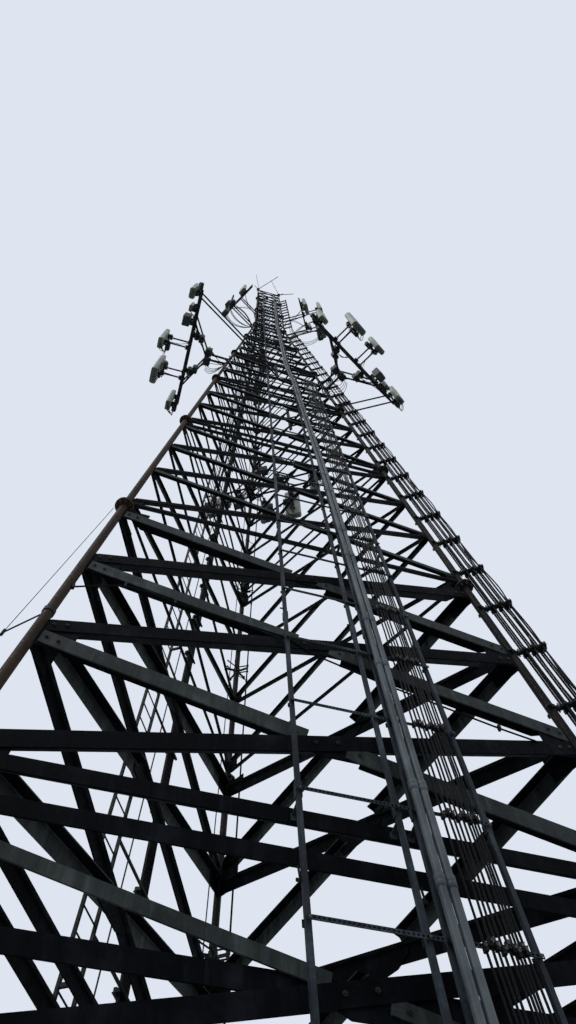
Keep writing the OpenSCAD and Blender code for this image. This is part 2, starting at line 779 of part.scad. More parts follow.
module beacon_lamps() {
    color("firebrick") on_axis() {
        for (i = [1, 2]) translate(head(i, top_post_h))
            cylinder(r = lamp_r[0], h = lamp_h[0], $fn = 32);
        translate([0, 0, tower_h + spider_z - strut_r + hub_h()])
            cylinder(r = lamp_r[1], h = lamp_h[1], $fn = 32);
        for (i = [1, 2])
            translate(stub_end(i) + turned(legs[i], [stub.y / 2, 0, 0]) - [0, 0, stub.y / 2])
                cylinder(r = stub.y / 2, h = stub.y, $fn = 32);
    }
}

base_plates();
leg_section(0);  // leg_section_1
leg_section(1);  // leg_section_2
leg_section(2);  // leg_section_3
leg_section(3);  // leg_section_4
leg_section(4);  // leg_section_5
leg_section(5);  // leg_section_6
leg_section(6);  // leg_section_7
leg_section(7);  // leg_section_8
leg_section(8);  // leg_section_9
leg_section(9);  // leg_section_10
side_bracing(0, 0, 2);  // front_bracing_lower
side_bracing(0, 3, 6);  // front_bracing_middle
side_bracing(0, 7, 9);  // front_bracing_top
side_bracing(240, 0, 2);  // left_bracing_lower
side_bracing(240, 3, 6);  // left_bracing_middle
side_bracing(240, 7, 9);  // left_bracing_top
side_bracing(120, 0, 2);  // right_bracing_lower
side_bracing(120, 3, 6);  // right_bracing_middle
side_bracing(120, 7, 9);  // right_bracing_top
front_cable_ladder();
front_conduits();
front_coax_cables();
right_leg_cable_brackets();
right_leg_coax_cables();
left_climbing_ladder();
left_coax_cables();
back_leg_safety_cable();
lower_frame(1);  // lower_frame_left
lower_frame(2);  // lower_frame_right
lower_frame(0);  // lower_frame_back
lower_antennas(1);  // lower_antennas_left
lower_antennas(2);  // lower_antennas_right
lower_antennas(0);  // lower_antennas_back
lower_radio_units();
middle_frames();
middle_antennas();
upper_frames();
upper_antennas();
top_booms();
lightning_rod();
beacon_lamps();
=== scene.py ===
import json
import math

import bmesh
import bpy
from mathutils import Matrix, Vector


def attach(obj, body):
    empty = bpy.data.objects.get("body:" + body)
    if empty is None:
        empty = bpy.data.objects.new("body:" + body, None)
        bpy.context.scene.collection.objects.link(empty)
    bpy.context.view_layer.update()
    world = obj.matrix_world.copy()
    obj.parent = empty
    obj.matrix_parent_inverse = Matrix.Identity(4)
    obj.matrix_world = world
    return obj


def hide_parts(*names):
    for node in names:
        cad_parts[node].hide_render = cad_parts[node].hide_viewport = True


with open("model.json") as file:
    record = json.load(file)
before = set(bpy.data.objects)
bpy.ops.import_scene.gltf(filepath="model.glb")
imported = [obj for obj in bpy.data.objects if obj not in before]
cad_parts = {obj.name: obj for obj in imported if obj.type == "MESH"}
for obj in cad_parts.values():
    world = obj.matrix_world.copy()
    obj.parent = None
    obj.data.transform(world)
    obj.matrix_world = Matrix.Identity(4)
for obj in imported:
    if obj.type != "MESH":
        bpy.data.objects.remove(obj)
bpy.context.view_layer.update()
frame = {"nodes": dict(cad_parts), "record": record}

nodes = frame["nodes"]

# The tower's main sizes, in metres, as in the solids
SECTION_H = 3.048
SECTIONS = 10
TAPERED = 7
PANELS = 3
BASE_R = 2.099
TOP_R = 0.478
LEG_R = (0.031, 0.017)
FLANGE_OVER = 0.044
FLANGE_T = 0.013
AXIS = Vector((0, -BASE_R, 0))
TAPER = (BASE_R - TOP_R) / TAPERED
KINK_Z = TAPERED * SECTION_H
TOWER_H = SECTIONS * SECTION_H
HALF_SECTION = SECTION_H / 2
COS_30 = math.cos(math.radians(30))
LEG_LEAN = math.atan(TAPER / SECTION_H)
SIDE_LEAN = math.atan(TAPER / 2 / SECTION_H)
SIDE_LEG_LEAN = math.atan(COS_30 * math.tan(LEG_LEAN))
SIDES = {"front": 0, "left": 240, "right": 120}
LEGS = {"back": 90, "left": 210, "right": 330}


# Places on the tower
def steps(foot, gap, top):
    """Heights at equal steps from a foot up to a top."""
    return [foot + gap * i for i in range(int((top - foot) / gap) + 1)]


def radius_at(z):
    return max(TOP_R, BASE_R - TAPER * z / SECTION_H)


def half_side(z):
    return radius_at(z) * COS_30


def leg_r_at(z):
    k = min(SECTIONS - 1, int(z / SECTION_H))
    return LEG_R[0] + (LEG_R[1] - LEG_R[0]) * k / (SECTIONS - 1)


def at(x, y, z):
    return Matrix.Translation((x, y, z))


def turned(degrees, axis="Z"):
    return Matrix.Rotation(math.radians(degrees), 4, axis)


def upright_on_leg(leg, z, turn=0):
    """A place on a leg with Z straight up, X outward or turned from it."""
    return at(*AXIS) @ turned(LEGS[leg]) @ at(radius_at(z), 0, z) @ turned(turn)


def on_leg(leg, z):
    """A place on a leg's centre line: X outward, Z along the leg."""
    return upright_on_leg(leg, z) @ Matrix.Rotation(-LEG_LEAN if z < KINK_Z else 0, 4, "Y")


def on_side(side, z):
    """A place in the middle of a side: X to the right seen from outside, Y inward."""
    lean = SIDE_LEAN if z < KINK_Z else 0
    return (at(*AXIS) @ turned(SIDES[side]) @ at(0, -radius_at(z) / 2, z)
            @ Matrix.Rotation(-lean, 4, "X"))


def side_point(side, x, out, z):
    return AXIS + turned(SIDES[side]) @ Vector((x, -radius_at(z) / 2 - out, z))


def leg_point(leg, out, across, z):
    return AXIS + turned(LEGS[leg]) @ Vector((radius_at(z) + out, across, z))


def front_at(x, out, z):
    """A place off the front side, with Z straight up."""
    return at(*side_point("front", x, out, z))


def placed(place, *spots):
    return [place @ Vector(spot) for spot in spots]


# Camera: where the photograph was taken, looking steeply up the tower; its turns are in degrees
CAMERA_AT = (-0.911, -5.287, 0.7925)
CAMERA_LENS = 25.73
CAMERA_TURN = -19.41
CAMERA_RISE = 67.3
CAMERA_ROLL = -4.29


def make_camera():
    data = bpy.data.cameras.new("camera")
    data.sensor_width = 36
    data.lens = CAMERA_LENS
    data.clip_start = 0.05
    data.clip_end = 200
    camera = bpy.data.objects.new("camera", data)
    bpy.context.collection.objects.link(camera)
    level = at(*CAMERA_AT) @ turned(CAMERA_TURN)
    camera.matrix_world = level @ turned(90 + CAMERA_RISE, "X") @ turned(CAMERA_ROLL)
    bpy.context.scene.camera = camera


make_camera()


# Shapes
def box(bm, place, size):
    bmesh.ops.create_cube(bm, size=1, matrix=place @ Matrix.Diagonal((*size, 1)))


def rod(bm, a, b, r, sides=8):
    run = b - a
    turn = run.to_track_quat("Z", "Y").to_matrix().to_4x4()
    bmesh.ops.create_cone(bm, cap_ends=True, segments=sides, radius1=r, radius2=r, depth=run.length,
                          matrix=at(*(a + b) / 2) @ turn)


def bolt_pair(bm, place, near, far, across, r):
    """Two thin bolts along the place's X, one on each side of it."""
    for s in (-1, 1):
        rod(bm, *placed(place, (near, s * across, 0), (far, s * across, 0)), r, 6)


def disc(bm, place, r, h, sides=12, r_end=None):
    """A disc that stands on the place, along its Z."""
    bmesh.ops.create_cone(bm, cap_ends=True, segments=sides, radius1=r, radius2=r if r_end is None else r_end,
                          depth=h, matrix=place @ at(0, 0, h / 2))


def bolt(bm, place, r, h):
    """A hexagon head with the rounded end of the bolt over it."""
    disc(bm, place, r, h, 6)
    disc(bm, place @ at(0, 0, h), r * 0.55, h * 0.6, 6, r * 0.4)


def bar(bm, a, b, outward, w, d):
    """A square bar from a to b, w across and d deep along outward."""
    along = (b - a).normalized()
    across = along.cross(outward).normalized()
    deep = across.cross(along)
    turn = Matrix((across, deep, along)).transposed().to_4x4()
    box(bm, at(*(a + b) / 2) @ turn, (w, d, (b - a).length))


def turned_shape(bm, place, profile, sides=20):
    """A closed shape spun round the place's Z from a profile of (radius, height) pairs."""
    part = bmesh.new()
    line = [part.verts.new((r, 0, z)) for r, z in profile]
    edges = [part.edges.new(pair) for pair in zip(line, line[1:])]
    bmesh.ops.spin(part, geom=line + edges, cent=(0, 0, 0), axis=(0, 0, 1), angle=2 * math.pi,
                   steps=sides, use_merge=True)
    bmesh.ops.remove_doubles(part, verts=part.verts, dist=1e-5)
    join(bm, part, place)


def join(bm, part, place=Matrix()):
    mesh = bpy.data.meshes.new("part")
    part.to_mesh(mesh)
    part.free()
    mesh.transform(place)
    bm.from_mesh(mesh)
    bpy.data.meshes.remove(mesh)


def cut(bm, point, normal):
    """Takes away what is on the normal's side of a plane and closes the cut."""
    out = bmesh.ops.bisect_plane(bm, geom=bm.verts[:] + bm.edges[:] + bm.faces[:], dist=1e-6,
                                 plane_co=point, plane_no=normal, clear_outer=True)
    rim = [e for e in out["geom_cut"] if isinstance(e, bmesh.types.BMEdge)]
    if rim:
        bmesh.ops.holes_fill(bm, edges=rim, sides=0)


def put(piece, finish, replaced):
    """Puts a piece in the scene with its finish, and rides it on the tower."""
    bpy.context.collection.objects.link(piece)
    piece.data.materials.append(finish)
    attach(piece, "root")
    if replaced:
        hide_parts(*replaced)
    return piece


def keep(name, bm, finish, replaced=(), smooth=False):
    """Makes a piece of a bmesh."""
    bmesh.ops.recalc_face_normals(bm, faces=bm.faces)
    mesh = bpy.data.meshes.new(name)
    bm.to_mesh(mesh)
    bm.free()
    if smooth:
        mesh.shade_smooth()
    return put(bpy.data.objects.new(name, mesh), finish, replaced)


def cables(name, routes, bends="NURBS", replaced=()):
    """Makes a piece of round black cables along routes, each a radius and its points."""
    curve = bpy.data.curves.new(name, "CURVE")
    curve.dimensions = "3D"
    curve.bevel_depth = 0.01
    curve.bevel_resolution = 1
    curve.use_fill_caps = True
    for r, points in routes:
        spline = curve.splines.new(bends)
        spline.points.add(len(points) - 1)
        for spot, point in zip(spline.points, points):
            spot.co = (*point, 1)
            spot.radius = r / curve.bevel_depth
        if bends == "NURBS":
            spline.order_u = 3
            spline.use_endpoint_u = True
            spline.resolution_u = 3
    put(bpy.data.objects.new(name, curve), black_jacket, replaced)


# Materials: small builders for node trees
def add_node(tree, kind, inputs, **settings):
    """A node with its settings and inputs; an input that is another node's socket is linked."""
    node = tree.nodes.new(f"ShaderNode{kind}")
    for name, value in settings.items():
        setattr(node, name, value)
    for name, value in inputs.items():
        if isinstance(value, bpy.types.NodeSocket):
            tree.links.new(value, node.inputs[name])
        else:
            node.inputs[name].default_value = value
    return node


finishes = {}


class Finish:
    """One material, kept by its name, with its node tree at hand."""

    def __init__(self, name):
        self.material = bpy.data.materials.new(name)
        finishes[name] = self.material
        self.material.use_nodes = True
        self.tree = self.material.node_tree
        self.shader = self.tree.nodes["Principled BSDF"]
        self.place = add_node(self.tree, "TexCoord", {}).outputs["Object"]

    def noise(self, scale, detail=4.0, roughness=0.55, stretch=(1, 1, 1)):
        mapping = add_node(self.tree, "Mapping", {"Scale": stretch, "Vector": self.place})
        node = add_node(self.tree, "TexNoise", {"Scale": scale, "Detail": detail, "Roughness": roughness,
                                                "Vector": mapping.outputs["Vector"]})
        return node.outputs["Fac"]

    def ramp(self, value, stops):
        """Colours, or plain levels of grey, at positions from 0 to 1."""
        node = add_node(self.tree, "ValToRGB", {"Fac": value})
        elements = node.color_ramp.elements
        while len(elements) < len(stops):
            elements.new(0.5)
        for element, (position, colour) in zip(elements, stops):
            element.position = position
            element.color = (*colour, 1) if isinstance(colour, tuple) else (colour, colour, colour, 1)
        return node.outputs["Color"]

    def mix(self, factor, first, second):
        """Two colours mixed by a factor, each a socket or a plain colour."""
        first, second = ((*value, 1) if isinstance(value, tuple) else value for value in (first, second))
        node = add_node(self.tree, "Mix", {"Factor": factor, "A": first, "B": second}, data_type="RGBA")
        return node.outputs["Result"]

    def stain(self, base, value, low, high, amount, colour):
        """Colours a base, up to an amount, where a value passes from low to high."""
        return self.mix(self.ramp(value, ((low, 0.0), (high, amount))), base, colour)

    def along(self, axis, low, high):
        """Runs from 0 to 1 between two places along an axis."""
        parts = add_node(self.tree, "SeparateXYZ", {0: self.place})
        node = add_node(self.tree, "MapRange", {"From Min": low, "From Max": high,
                                                "Value": parts.outputs[axis]})
        return node.outputs["Result"]

    def times(self, first, second):
        return add_node(self.tree, "Math", {0: first, 1: second}, operation="MULTIPLY").outputs[0]

    def colour(self, value):
        self.tree.links.new(value, self.shader.inputs["Base Color"])

    def roughness(self, value):
        self.tree.links.new(value, self.shader.inputs["Roughness"])

    def bump(self, height, distance, strength):
        node = add_node(self.tree, "Bump", {"Distance": distance, "Strength": strength, "Height": height})
        self.tree.links.new(node.outputs["Normal"], self.shader.inputs["Normal"])

    def gloss(self, level):
        self.shader.inputs["Specular IOR Level"].default_value = level


def srgb(*levels):
    """A colour given as it looks, 0 to 255, as the linear values that a shader takes."""
    return tuple(((c / 255 + 0.055) / 1.055) ** 2.4 if c > 10 else c / 255 / 12.92 for c in levels)


def galvanised(name, dark, mid, light, rust=None, rust_from=0.6, gloss=0.12, left_rust=False):
    """Old zinc: cloudy greys, fine spangle, streaks that run down, and rust in patches."""
    finish = Finish(name)
    spangle = finish.noise(55, 2)
    base = finish.ramp(finish.noise(3.5, 8, 0.62), ((0.3, dark), (0.5, mid), (0.72, light)))
    tinted = finish.stain(base, spangle, 0.5, 0.75, 0.45, light)
    tinted = finish.stain(tinted, finish.noise(16, 5, 0.6, stretch=(1, 1, 0.12)), 0.42, 0.6, 0.75, dark)
    tinted = finish.stain(tinted, finish.noise(30, 4, 0.6, stretch=(1, 1, 0.06)), 0.6, 0.72, 0.5, light)
    if rust:
        tinted = finish.stain(tinted, finish.noise(5, 8, 0.68), rust_from, rust_from + 0.08, 0.85, rust)
        if left_rust:
            wide = finish.ramp(finish.noise(2.2, 7, 0.6), ((0.32, 0.25), (0.6, 0.85)))
            tinted = finish.mix(finish.times(wide, finish.along("X", -0.1, -0.5)), tinted, rust)
    finish.colour(tinted)
    finish.roughness(finish.ramp(spangle, ((0.3, 0.5), (0.7, 0.8))))
    finish.bump(finish.noise(180, 3), 0.0008, 0.35)
    finish.gloss(gloss)
    return finish.material


def smooth_finish(name, first, second, rough, scale=4.0, gloss=0.2):
    """A moulded or drawn surface: a slow change of colour, dirt in streaks and a fine grain."""
    finish = Finish(name)
    base = finish.ramp(finish.noise(scale, 5), ((0.35, first), (0.65, second)))
    dirt = tuple(c * 0.45 for c in first)
    finish.colour(finish.stain(base, finish.noise(9, 6, 0.65, stretch=(1, 1, 0.2)), 0.5, 0.75, 0.5, dirt))
    grain = finish.noise(120, 2)
    finish.roughness(finish.ramp(grain, ((0.3, rough - 0.08), (0.7, rough + 0.08))))
    finish.bump(grain, 0.0004, 0.25)
    finish.gloss(gloss)
    return finish.material


galvanised("leg_steel", srgb(7, 7, 8), srgb(16, 15, 14), srgb(34, 31, 27),
           rust=srgb(50, 37, 27), rust_from=0.58, gloss=0.08, left_rust=True)
brace_steel = galvanised("brace_steel", srgb(17, 22, 23), srgb(33, 40, 41), srgb(60, 67, 66),
                         rust=srgb(36, 32, 28), rust_from=0.68)
# Two copies of the brace steel, darkened as painted shade: a near black one for bars and flange undersides in
# shadow, and a lighter one for the rising bars' flange undersides
shaded_brace_steel = galvanised("shaded_brace_steel", srgb(3, 4, 6), srgb(7, 8, 12), srgb(22, 25, 31), gloss=0.02)
shaded_underside_steel = galvanised("shaded_underside_steel", srgb(16, 18, 21), srgb(30, 33, 38), srgb(52, 56, 60))
fitting_steel = galvanised("fitting_steel", srgb(18, 22, 26), srgb(34, 41, 48), srgb(64, 74, 84))
dull_bolt_steel = galvanised("dull_bolt_steel", srgb(22, 22, 23), srgb(40, 40, 39), srgb(72, 69, 66),
                             rust=srgb(74, 52, 36), rust_from=0.62)
bolt_steel = galvanised("bolt_steel", srgb(44, 43, 43), srgb(82, 80, 78), srgb(132, 128, 124),
                        rust=srgb(78, 56, 42), rust_from=0.62, gloss=0.3)
# A copy of the galvanised steel painted near black as shade, for frames, brackets, clips and other fittings
shaded_frame_steel = galvanised("shaded_frame_steel", srgb(6, 8, 10), srgb(14, 17, 20), srgb(34, 39, 44))
pale_conduit = smooth_finish("pale_conduit", srgb(54, 62, 68), srgb(80, 88, 93), 0.6)
black_jacket = smooth_finish("black_jacket", srgb(3, 4, 7), srgb(9, 10, 14), 0.55, gloss=0.06)
smooth_finish("antenna_shell", srgb(112, 120, 112), srgb(150, 156, 144), 0.45, scale=2)
antenna_back = smooth_finish("antenna_back", srgb(60, 66, 62), srgb(88, 94, 88), 0.6)
radio_grey = smooth_finish("radio_grey", srgb(16, 19, 21), srgb(36, 42, 44), 0.6)
lamp_red = smooth_finish("lamp_red", srgb(88, 10, 8), srgb(120, 18, 12), 0.15, gloss=0.5)
smooth_finish("wire_rope", srgb(14, 16, 18), srgb(38, 40, 42), 0.45, scale=90)

# Parts given the steel painted near black as shade in place of their own finish
SHADED_FRAMES = ("lower_frame_left", "lower_frame_right", "lower_frame_back", "middle_frames", "upper_frames",
               "top_booms", "lightning_rod", "right_leg_cable_brackets", "left_climbing_ladder")


def dress_nodes():
    for part in frame["record"]["subparts"]:
        node = nodes[part["node"]]
        node.data.materials.clear()
        finish = finishes[part["material_slot"]]
        node.data.materials.append(shaded_frame_steel if part["node"] in SHADED_FRAMES else finish)


dress_nodes()

# Bracing: widths of rising and falling bars, thickness, joints and cross bars, as in the solids
BRACE_W = (0.110, 0.050, 0.036)
BRACE_T = (0.008, 0.005, 0.004)
FOOT_BARS_W = (0.088, 0.064)
REACH_SHARE = {"front": (1.0, 1.0), "left": (0.3, 0.65), "right": (0.3, 0.65)}
HEAVY = 2
CROSS_SHARE = 0.8
GUSSET_T = 0.008
LEG_GAP = 0.014
SEAT = 0.001
JOINT_OVER = 0.170
JOINT_UNDER = (0.245, 0.147, 0.235)
CROSS_PLACE = (0.082, 0.137)
JOINT_LIFT = 0.4
CROSSING_GAP = 0.94
SIDE_GAP = 0.002
MID_BAR_SECTION = 0
LONE_BAR_SECTION = 1
# Shares of a bar's width: its end bolts, the bolts by a crossing, and a gusset's width, bite and tip
END_BOLTS = (0.3, 0.62)
CROSSING_BOLTS = (1.5, 0.55)
GUSSET_W = 1.7
GUSSET_BITE = 0.75
GUSSET_TIP = 0.3
BRACE_BOLT_R = (0.0105, 0.007)
BRACE_PARTS = (("lower", 0, 2), ("middle", 3, 6), ("top", 7, 9))
OUTWARD = turned(90, "X")


def brace_size(sizes, k):
    if k < HEAVY:
        return sizes[0]
    return sizes[1] + (sizes[2] - sizes[1]) * (k - HEAVY) / (SECTIONS - 1 - HEAVY)


def extrude(part, face, run):
    out = bmesh.ops.extrude_face_region(part, geom=[face])
    moved = [v for v in out["geom"] if isinstance(v, bmesh.types.BMVert)]
    bmesh.ops.translate(part, verts=moved, vec=run)


def angle_bar(a, b, w, reach, t, front):
    """An angle from a to b in a side's plane: its level leg inward on top, with the second finish, a painted
    shade, on the level leg's underside.
    """
    part = bmesh.new()
    run = b - a
    turn = Matrix.Rotation(-math.atan2(run.y, run.x), 4, "Y")
    root = t / 2
    corners = ((0, -w / 2), (t, -w / 2), (t, w / 2 - t - root), (t + root, w / 2 - t), (reach, w / 2 - t),
               (reach, w / 2), (0, w / 2))
    place = at(a.x, front, a.y) @ turn
    line = [part.verts.new(place @ Vector((0, y, z))) for y, z in corners]
    extrude(part, part.faces.new(line), turn.to_3x3() @ Vector((run.length, 0, 0)))
    # The level leg's underside takes the painted shade
    for side in line[3].link_faces:
        if line[4] in side.verts and len(side.verts) == 4:
            side.material_index = 1
    return part


class SideSection:
    """The bars of one section of one side, sorted by their finish: the rising bars, cross bars, gussets and
    plates in painted shade, the falling bars in the steel's own colour.
    """

    def __init__(self, side, k, dark, pale, bolts):
        # The dark bars take the steel painted in shade, the pale ones its own colour
        self.dark, self.pale, self.bolts = dark, pale, bolts
        self.k = k
        self.foot = k * SECTION_H
        self.place = on_side(side, self.foot)
        self.slant = math.cos(SIDE_LEAN) if k < TAPERED else 1
        self.lean = SIDE_LEG_LEAN if k < TAPERED else 0
        self.r = leg_r_at(self.foot + SECTION_H / 2)
        self.w = brace_size(BRACE_W, k)
        self.t = brace_size(BRACE_T, k)
        self.front = -GUSSET_T / 2 + SEAT - self.t
        self.reach = REACH_SHARE[side]
        into_side = self.place.inverted() @ at(*AXIS) @ turned(SIDES[side])
        self.mitres = [(into_side @ Vector((0, -SIDE_GAP, 0)),
                        into_side.to_3x3() @ Vector((s * 0.5, COS_30, 0)))
                       for s in (-1, 1)]

    def spot(self, s, z):
        return Vector((s * half_side(z), (z - self.foot) / self.slant))

    def leg_plane(self, s, off):
        normal = Vector((s * math.cos(self.lean), 0, math.sin(self.lean)))
        return Vector((s * half_side(self.foot), 0, 0)) - off * normal, normal

    def fit(self, part):
        for s in (-1, 1):
            cut(part, *self.leg_plane(s, self.r + LEG_GAP))
        for point, normal in self.mitres:
            cut(part, point, normal)
        return part

    def head_bolt(self, spot):
        r = BRACE_BOLT_R[0 if self.k < HEAVY else 1]
        bolt(self.bolts, self.place @ at(spot.x, self.front, spot.y) @ OUTWARD, r, r * 0.75)

    def end_bolts(self, a, b, w):
        run = (b - a).normalized()
        first, pitch = END_BOLTS
        reach = self.r + LEG_GAP + first * w
        for start, way in ((a, run), (b, -run)):
            for step in (reach, reach + pitch * w):
                self.head_bolt(start + way * step)

    def cross_bar(self, z, outer):
        w = CROSS_SHARE * self.w
        a, b = self.spot(-1, z), self.spot(1, z)
        part = angle_bar(a, b, w, w * self.reach[0], self.t, self.front if outer else GUSSET_T / 2 - SEAT)
        join(self.dark, self.fit(part), self.place)
        if outer:
            self.end_bolts(a, b, w)

    def gussets(self, low, high):
        z = (low + high) / 2
        for s in (-1, 1):
            spot = self.spot(s, z)
            box(self.dark, self.place @ at(spot.x, 0, spot.y) @ Matrix.Rotation(-s * self.lean, 4, "Y")
                @ at(-s * (self.r + GUSSET_W / 2 * self.w), 0, 0), (GUSSET_W * self.w, GUSSET_T, high - low))

    def panel(self, low_z, high_z):
        """One bar that rises, and one that falls in two pieces on either side of it."""
        w_rise, w_fall = FOOT_BARS_W if self.k == 0 else (self.w, self.w)
        low, high = self.spot(-1, low_z), self.spot(1, high_z)
        part = angle_bar(low, high, w_rise, w_rise * self.reach[0], self.t, self.front)
        join(self.dark, self.fit(part), self.place)
        self.end_bolts(low, high, w_rise)
        fall_a, fall_b = self.spot(-1, high_z), self.spot(1, low_z)
        middle = low + (high - low) * half_side(low_z) / (half_side(low_z) + half_side(high_z))
        rise = (high - low).normalized()
        fall = (fall_b - fall_a).normalized()
        over = Vector((-rise.y, 0, rise.x))
        centre = Vector((middle.x, 0, middle.y))
        along = Vector((fall.x, 0, fall.y))
        for s in (-1, 1):
            part = angle_bar(fall_a, fall_b, w_fall, w_fall * self.reach[1], self.t, self.front)
            cut(part, centre - s * (w_rise / 2 + 0.0005) * over, s * over)
            cut(part, centre + s * CROSSING_GAP * self.w * along, -s * along)
            join(self.pale, self.fit(part), self.place)
            for share, way in zip(CROSSING_BOLTS, (fall, rise)):
                self.head_bolt(middle + s * way * self.w * share)
        self.end_bolts(fall_a, fall_b, w_fall)
        self.crossing_plate(middle, rise, fall)

    def crossing_plate(self, middle, rise, fall):
        across = Vector((-rise.y, rise.x))
        over = Vector((-fall.y, fall.x))
        corners = (-1.7 * fall, 0.5 * rise, 2.2 * fall + 0.2 * over, 2.2 * fall - 0.3 * over,
                   -0.55 * rise - 0.7 * across, -1.2 * rise - 0.1 * across)
        part = bmesh.new()
        spots = [(middle.x + self.w * c.x, -GUSSET_T / 2, middle.y + self.w * c.y) for c in corners]
        extrude(part, part.faces.new([part.verts.new(spot) for spot in spots]), (0, GUSSET_T, 0))
        join(self.dark, part, self.place)

    def build(self):
        lift, bite = JOINT_LIFT * self.w, GUSSET_BITE * self.w
        height = SECTION_H - JOINT_OVER - JOINT_UNDER[min(self.k, HEAVY)]
        joints = [self.foot + JOINT_OVER + height * i / PANELS for i in range(PANELS + 1)]
        for i in range(PANELS):
            self.panel(joints[i] + (lift if i else 0), joints[i + 1] - (lift if i < PANELS - 1 else 0))
        over_z, under_z = self.foot + CROSS_PLACE[0], self.foot + SECTION_H - CROSS_PLACE[1]
        tip = GUSSET_TIP * CROSS_SHARE * self.w
        self.cross_bar(over_z, True)
        self.gussets(over_z - tip, joints[0] + bite)
        for z in joints[1:-1]:
            self.gussets(z - lift - bite, z + lift + bite)
        if self.k == LONE_BAR_SECTION:
            self.gussets(joints[-1] - bite, joints[-1] + bite)
        else:
            self.cross_bar(under_z, True)
            self.gussets(joints[-1] - bite, under_z + tip)
        if self.k == MID_BAR_SECTION:
            low, high = joints[-2] + lift, joints[-1]
            mid_z = low + (high - low) * half_side(low) / (half_side(low) + half_side(high))
            self.cross_bar(mid_z, False)
            self.gussets(mid_z - bite, mid_z + bite)


def make_bracing():
    bolts = bmesh.new()
    for side in SIDES:
        for part_name, first, last in BRACE_PARTS:
            dark, pale = bmesh.new(), bmesh.new()
            for k in range(first, last + 1):
                SideSection(side, k, dark, pale, bolts).build()
            node = f"{side}_bracing_{part_name}"
            # Rising bars in the steel painted near black as shade, with a lighter painted shade under their
            # flanges; falling bars in the steel's own colour, with the near black painted shade under theirs
            for name, bm, finish, underside_shade in (("rising", dark, shaded_brace_steel, shaded_underside_steel),
                                            ("falling", pale, brace_steel, shaded_brace_steel)):
                piece = keep(f"{side}_{name}_bars_{part_name}", bm, finish, [node])
                piece.data.materials.append(underside_shade)
    keep("brace_bolts", bolts, dull_bolt_steel)


make_bracing()

# Legs: flange bolts and anchor bolts, each of parts with a height, radius, thickness and number of sides
FLANGE_BOLTS = 8
FLANGE_BOLT_RING = 0.58
FLANGE_BOLT = ((FLANGE_T, 0.011, 0.011, 6), (-FLANGE_T - 0.011, 0.011, 0.011, 6),
               (-FLANGE_T - 0.028, 0.006, 0.07, 6))
ANCHORS = 6
ANCHOR_RING_R = 0.105
ANCHOR = ((0, 0.0082, 0.075, 12), (0.022, 0.021, 0.003, 16), (0.025, 0.0155, 0.015, 6),
          (0.041, 0.0155, 0.011, 6))


def bolt_ring(bm, place, ring_r, count, parts):
    for i in range(count):
        spot = place @ turned(360 / count * (i + 0.5)) @ at(ring_r, 0, 0)
        for z, r, h, sides in parts:
            disc(bm, spot @ at(0, 0, z), r, h, sides)


def make_leg_fasteners():
    bm = bmesh.new()
    for leg in LEGS:
        for z in [SECTION_H * k for k in range(1, SECTIONS)]:
            ring_r = leg_r_at(z - 0.1) + FLANGE_OVER * FLANGE_BOLT_RING
            bolt_ring(bm, on_leg(leg, z), ring_r, FLANGE_BOLTS, FLANGE_BOLT)
        bolt_ring(bm, upright_on_leg(leg, 0), ANCHOR_RING_R, ANCHORS, ANCHOR)
    keep("leg_bolts", bm, dull_bolt_steel)


def leg_clamp(bm, leg, z, over, h):
    """A sleeve round a leg."""
    disc(bm, on_leg(leg, z) @ at(0, 0, -h / 2), leg_r_at(z) + over, h, 16)


# Back leg: step pegs in pairs, each of parts with a start, end and radius, and clamps with lugs
PEG_HEIGHTS = (4.42, 4.50, 7.62, 7.72, 9.26, 12.4)
PEG_TURNS = ((1, 24), (-1, -20))
PEG_RISE = 0.12
PEG = ((0.02, 0.13, 0.007), (0.124, 0.132, 0.012))
LUG_CLAMPS = ((4.46, 0.085), (7.66, 0.10), (9.23, 0.07))
LUGS = 5
LUG_TURN = 18


def make_step_pegs():
    bm = bmesh.new()
    for z in PEG_HEIGHTS:
        for across, turn in PEG_TURNS:
            start = leg_point("back", 0, 0, z)
            way = turned(LEGS["back"]) @ turned(turn) @ Vector((0, across, PEG_RISE))
            for near, far, r in PEG:
                rod(bm, start + way * near, start + way * far, r)
    for z, reach in LUG_CLAMPS:
        leg_clamp(bm, "back", z, 0.007, 0.06)
        for i in range(LUGS):
            turn = turned(360 / LUGS * i + LUG_TURN)
            spot = on_leg("back", z) @ turn @ at(leg_r_at(z) + reach / 2, 0, 0.012 * (i % 3 - 1))
            box(bm, spot, (reach, 0.014, 0.022))
            disc(bm, spot @ at(reach / 2, 0, -0.018), 0.012, 0.036, 8)
    keep("step_pegs", bm, shaded_frame_steel)


# Thin wires: one held off the left leg, one beside the back leg, and a cable clipped to the front bars
EARTH_ARM = (0.10, -0.26)
EARTH_ARM_Z = (1.3, 4.33)
EARTH_FOOT = (0.05, 0, 0.1)
EARTH_TOP = (0.055, -0.035, 6.02)
EARTH_R = 0.0022
BACK_LINE = (0.05, -0.128)
BACK_LINE_Z = (0.3, 21.0)
BACK_LINE_R = 0.008
BACK_ARM_Z = (1.5, 21.4)
CLIPPED = ((-1.475, 4.640), (-1.332, 4.725), (-1.192, 4.794), (-1.034, 4.776), (-0.872, 4.721),
           (-0.525, 4.662), (-0.186, 4.601), (0.021, 4.455), (0.382, 4.316), (0.727, 4.208), (1.063, 4.104),
           (1.271, 4.053))
CLIPPED_R = 0.006
CLIP_OUT = 0.014


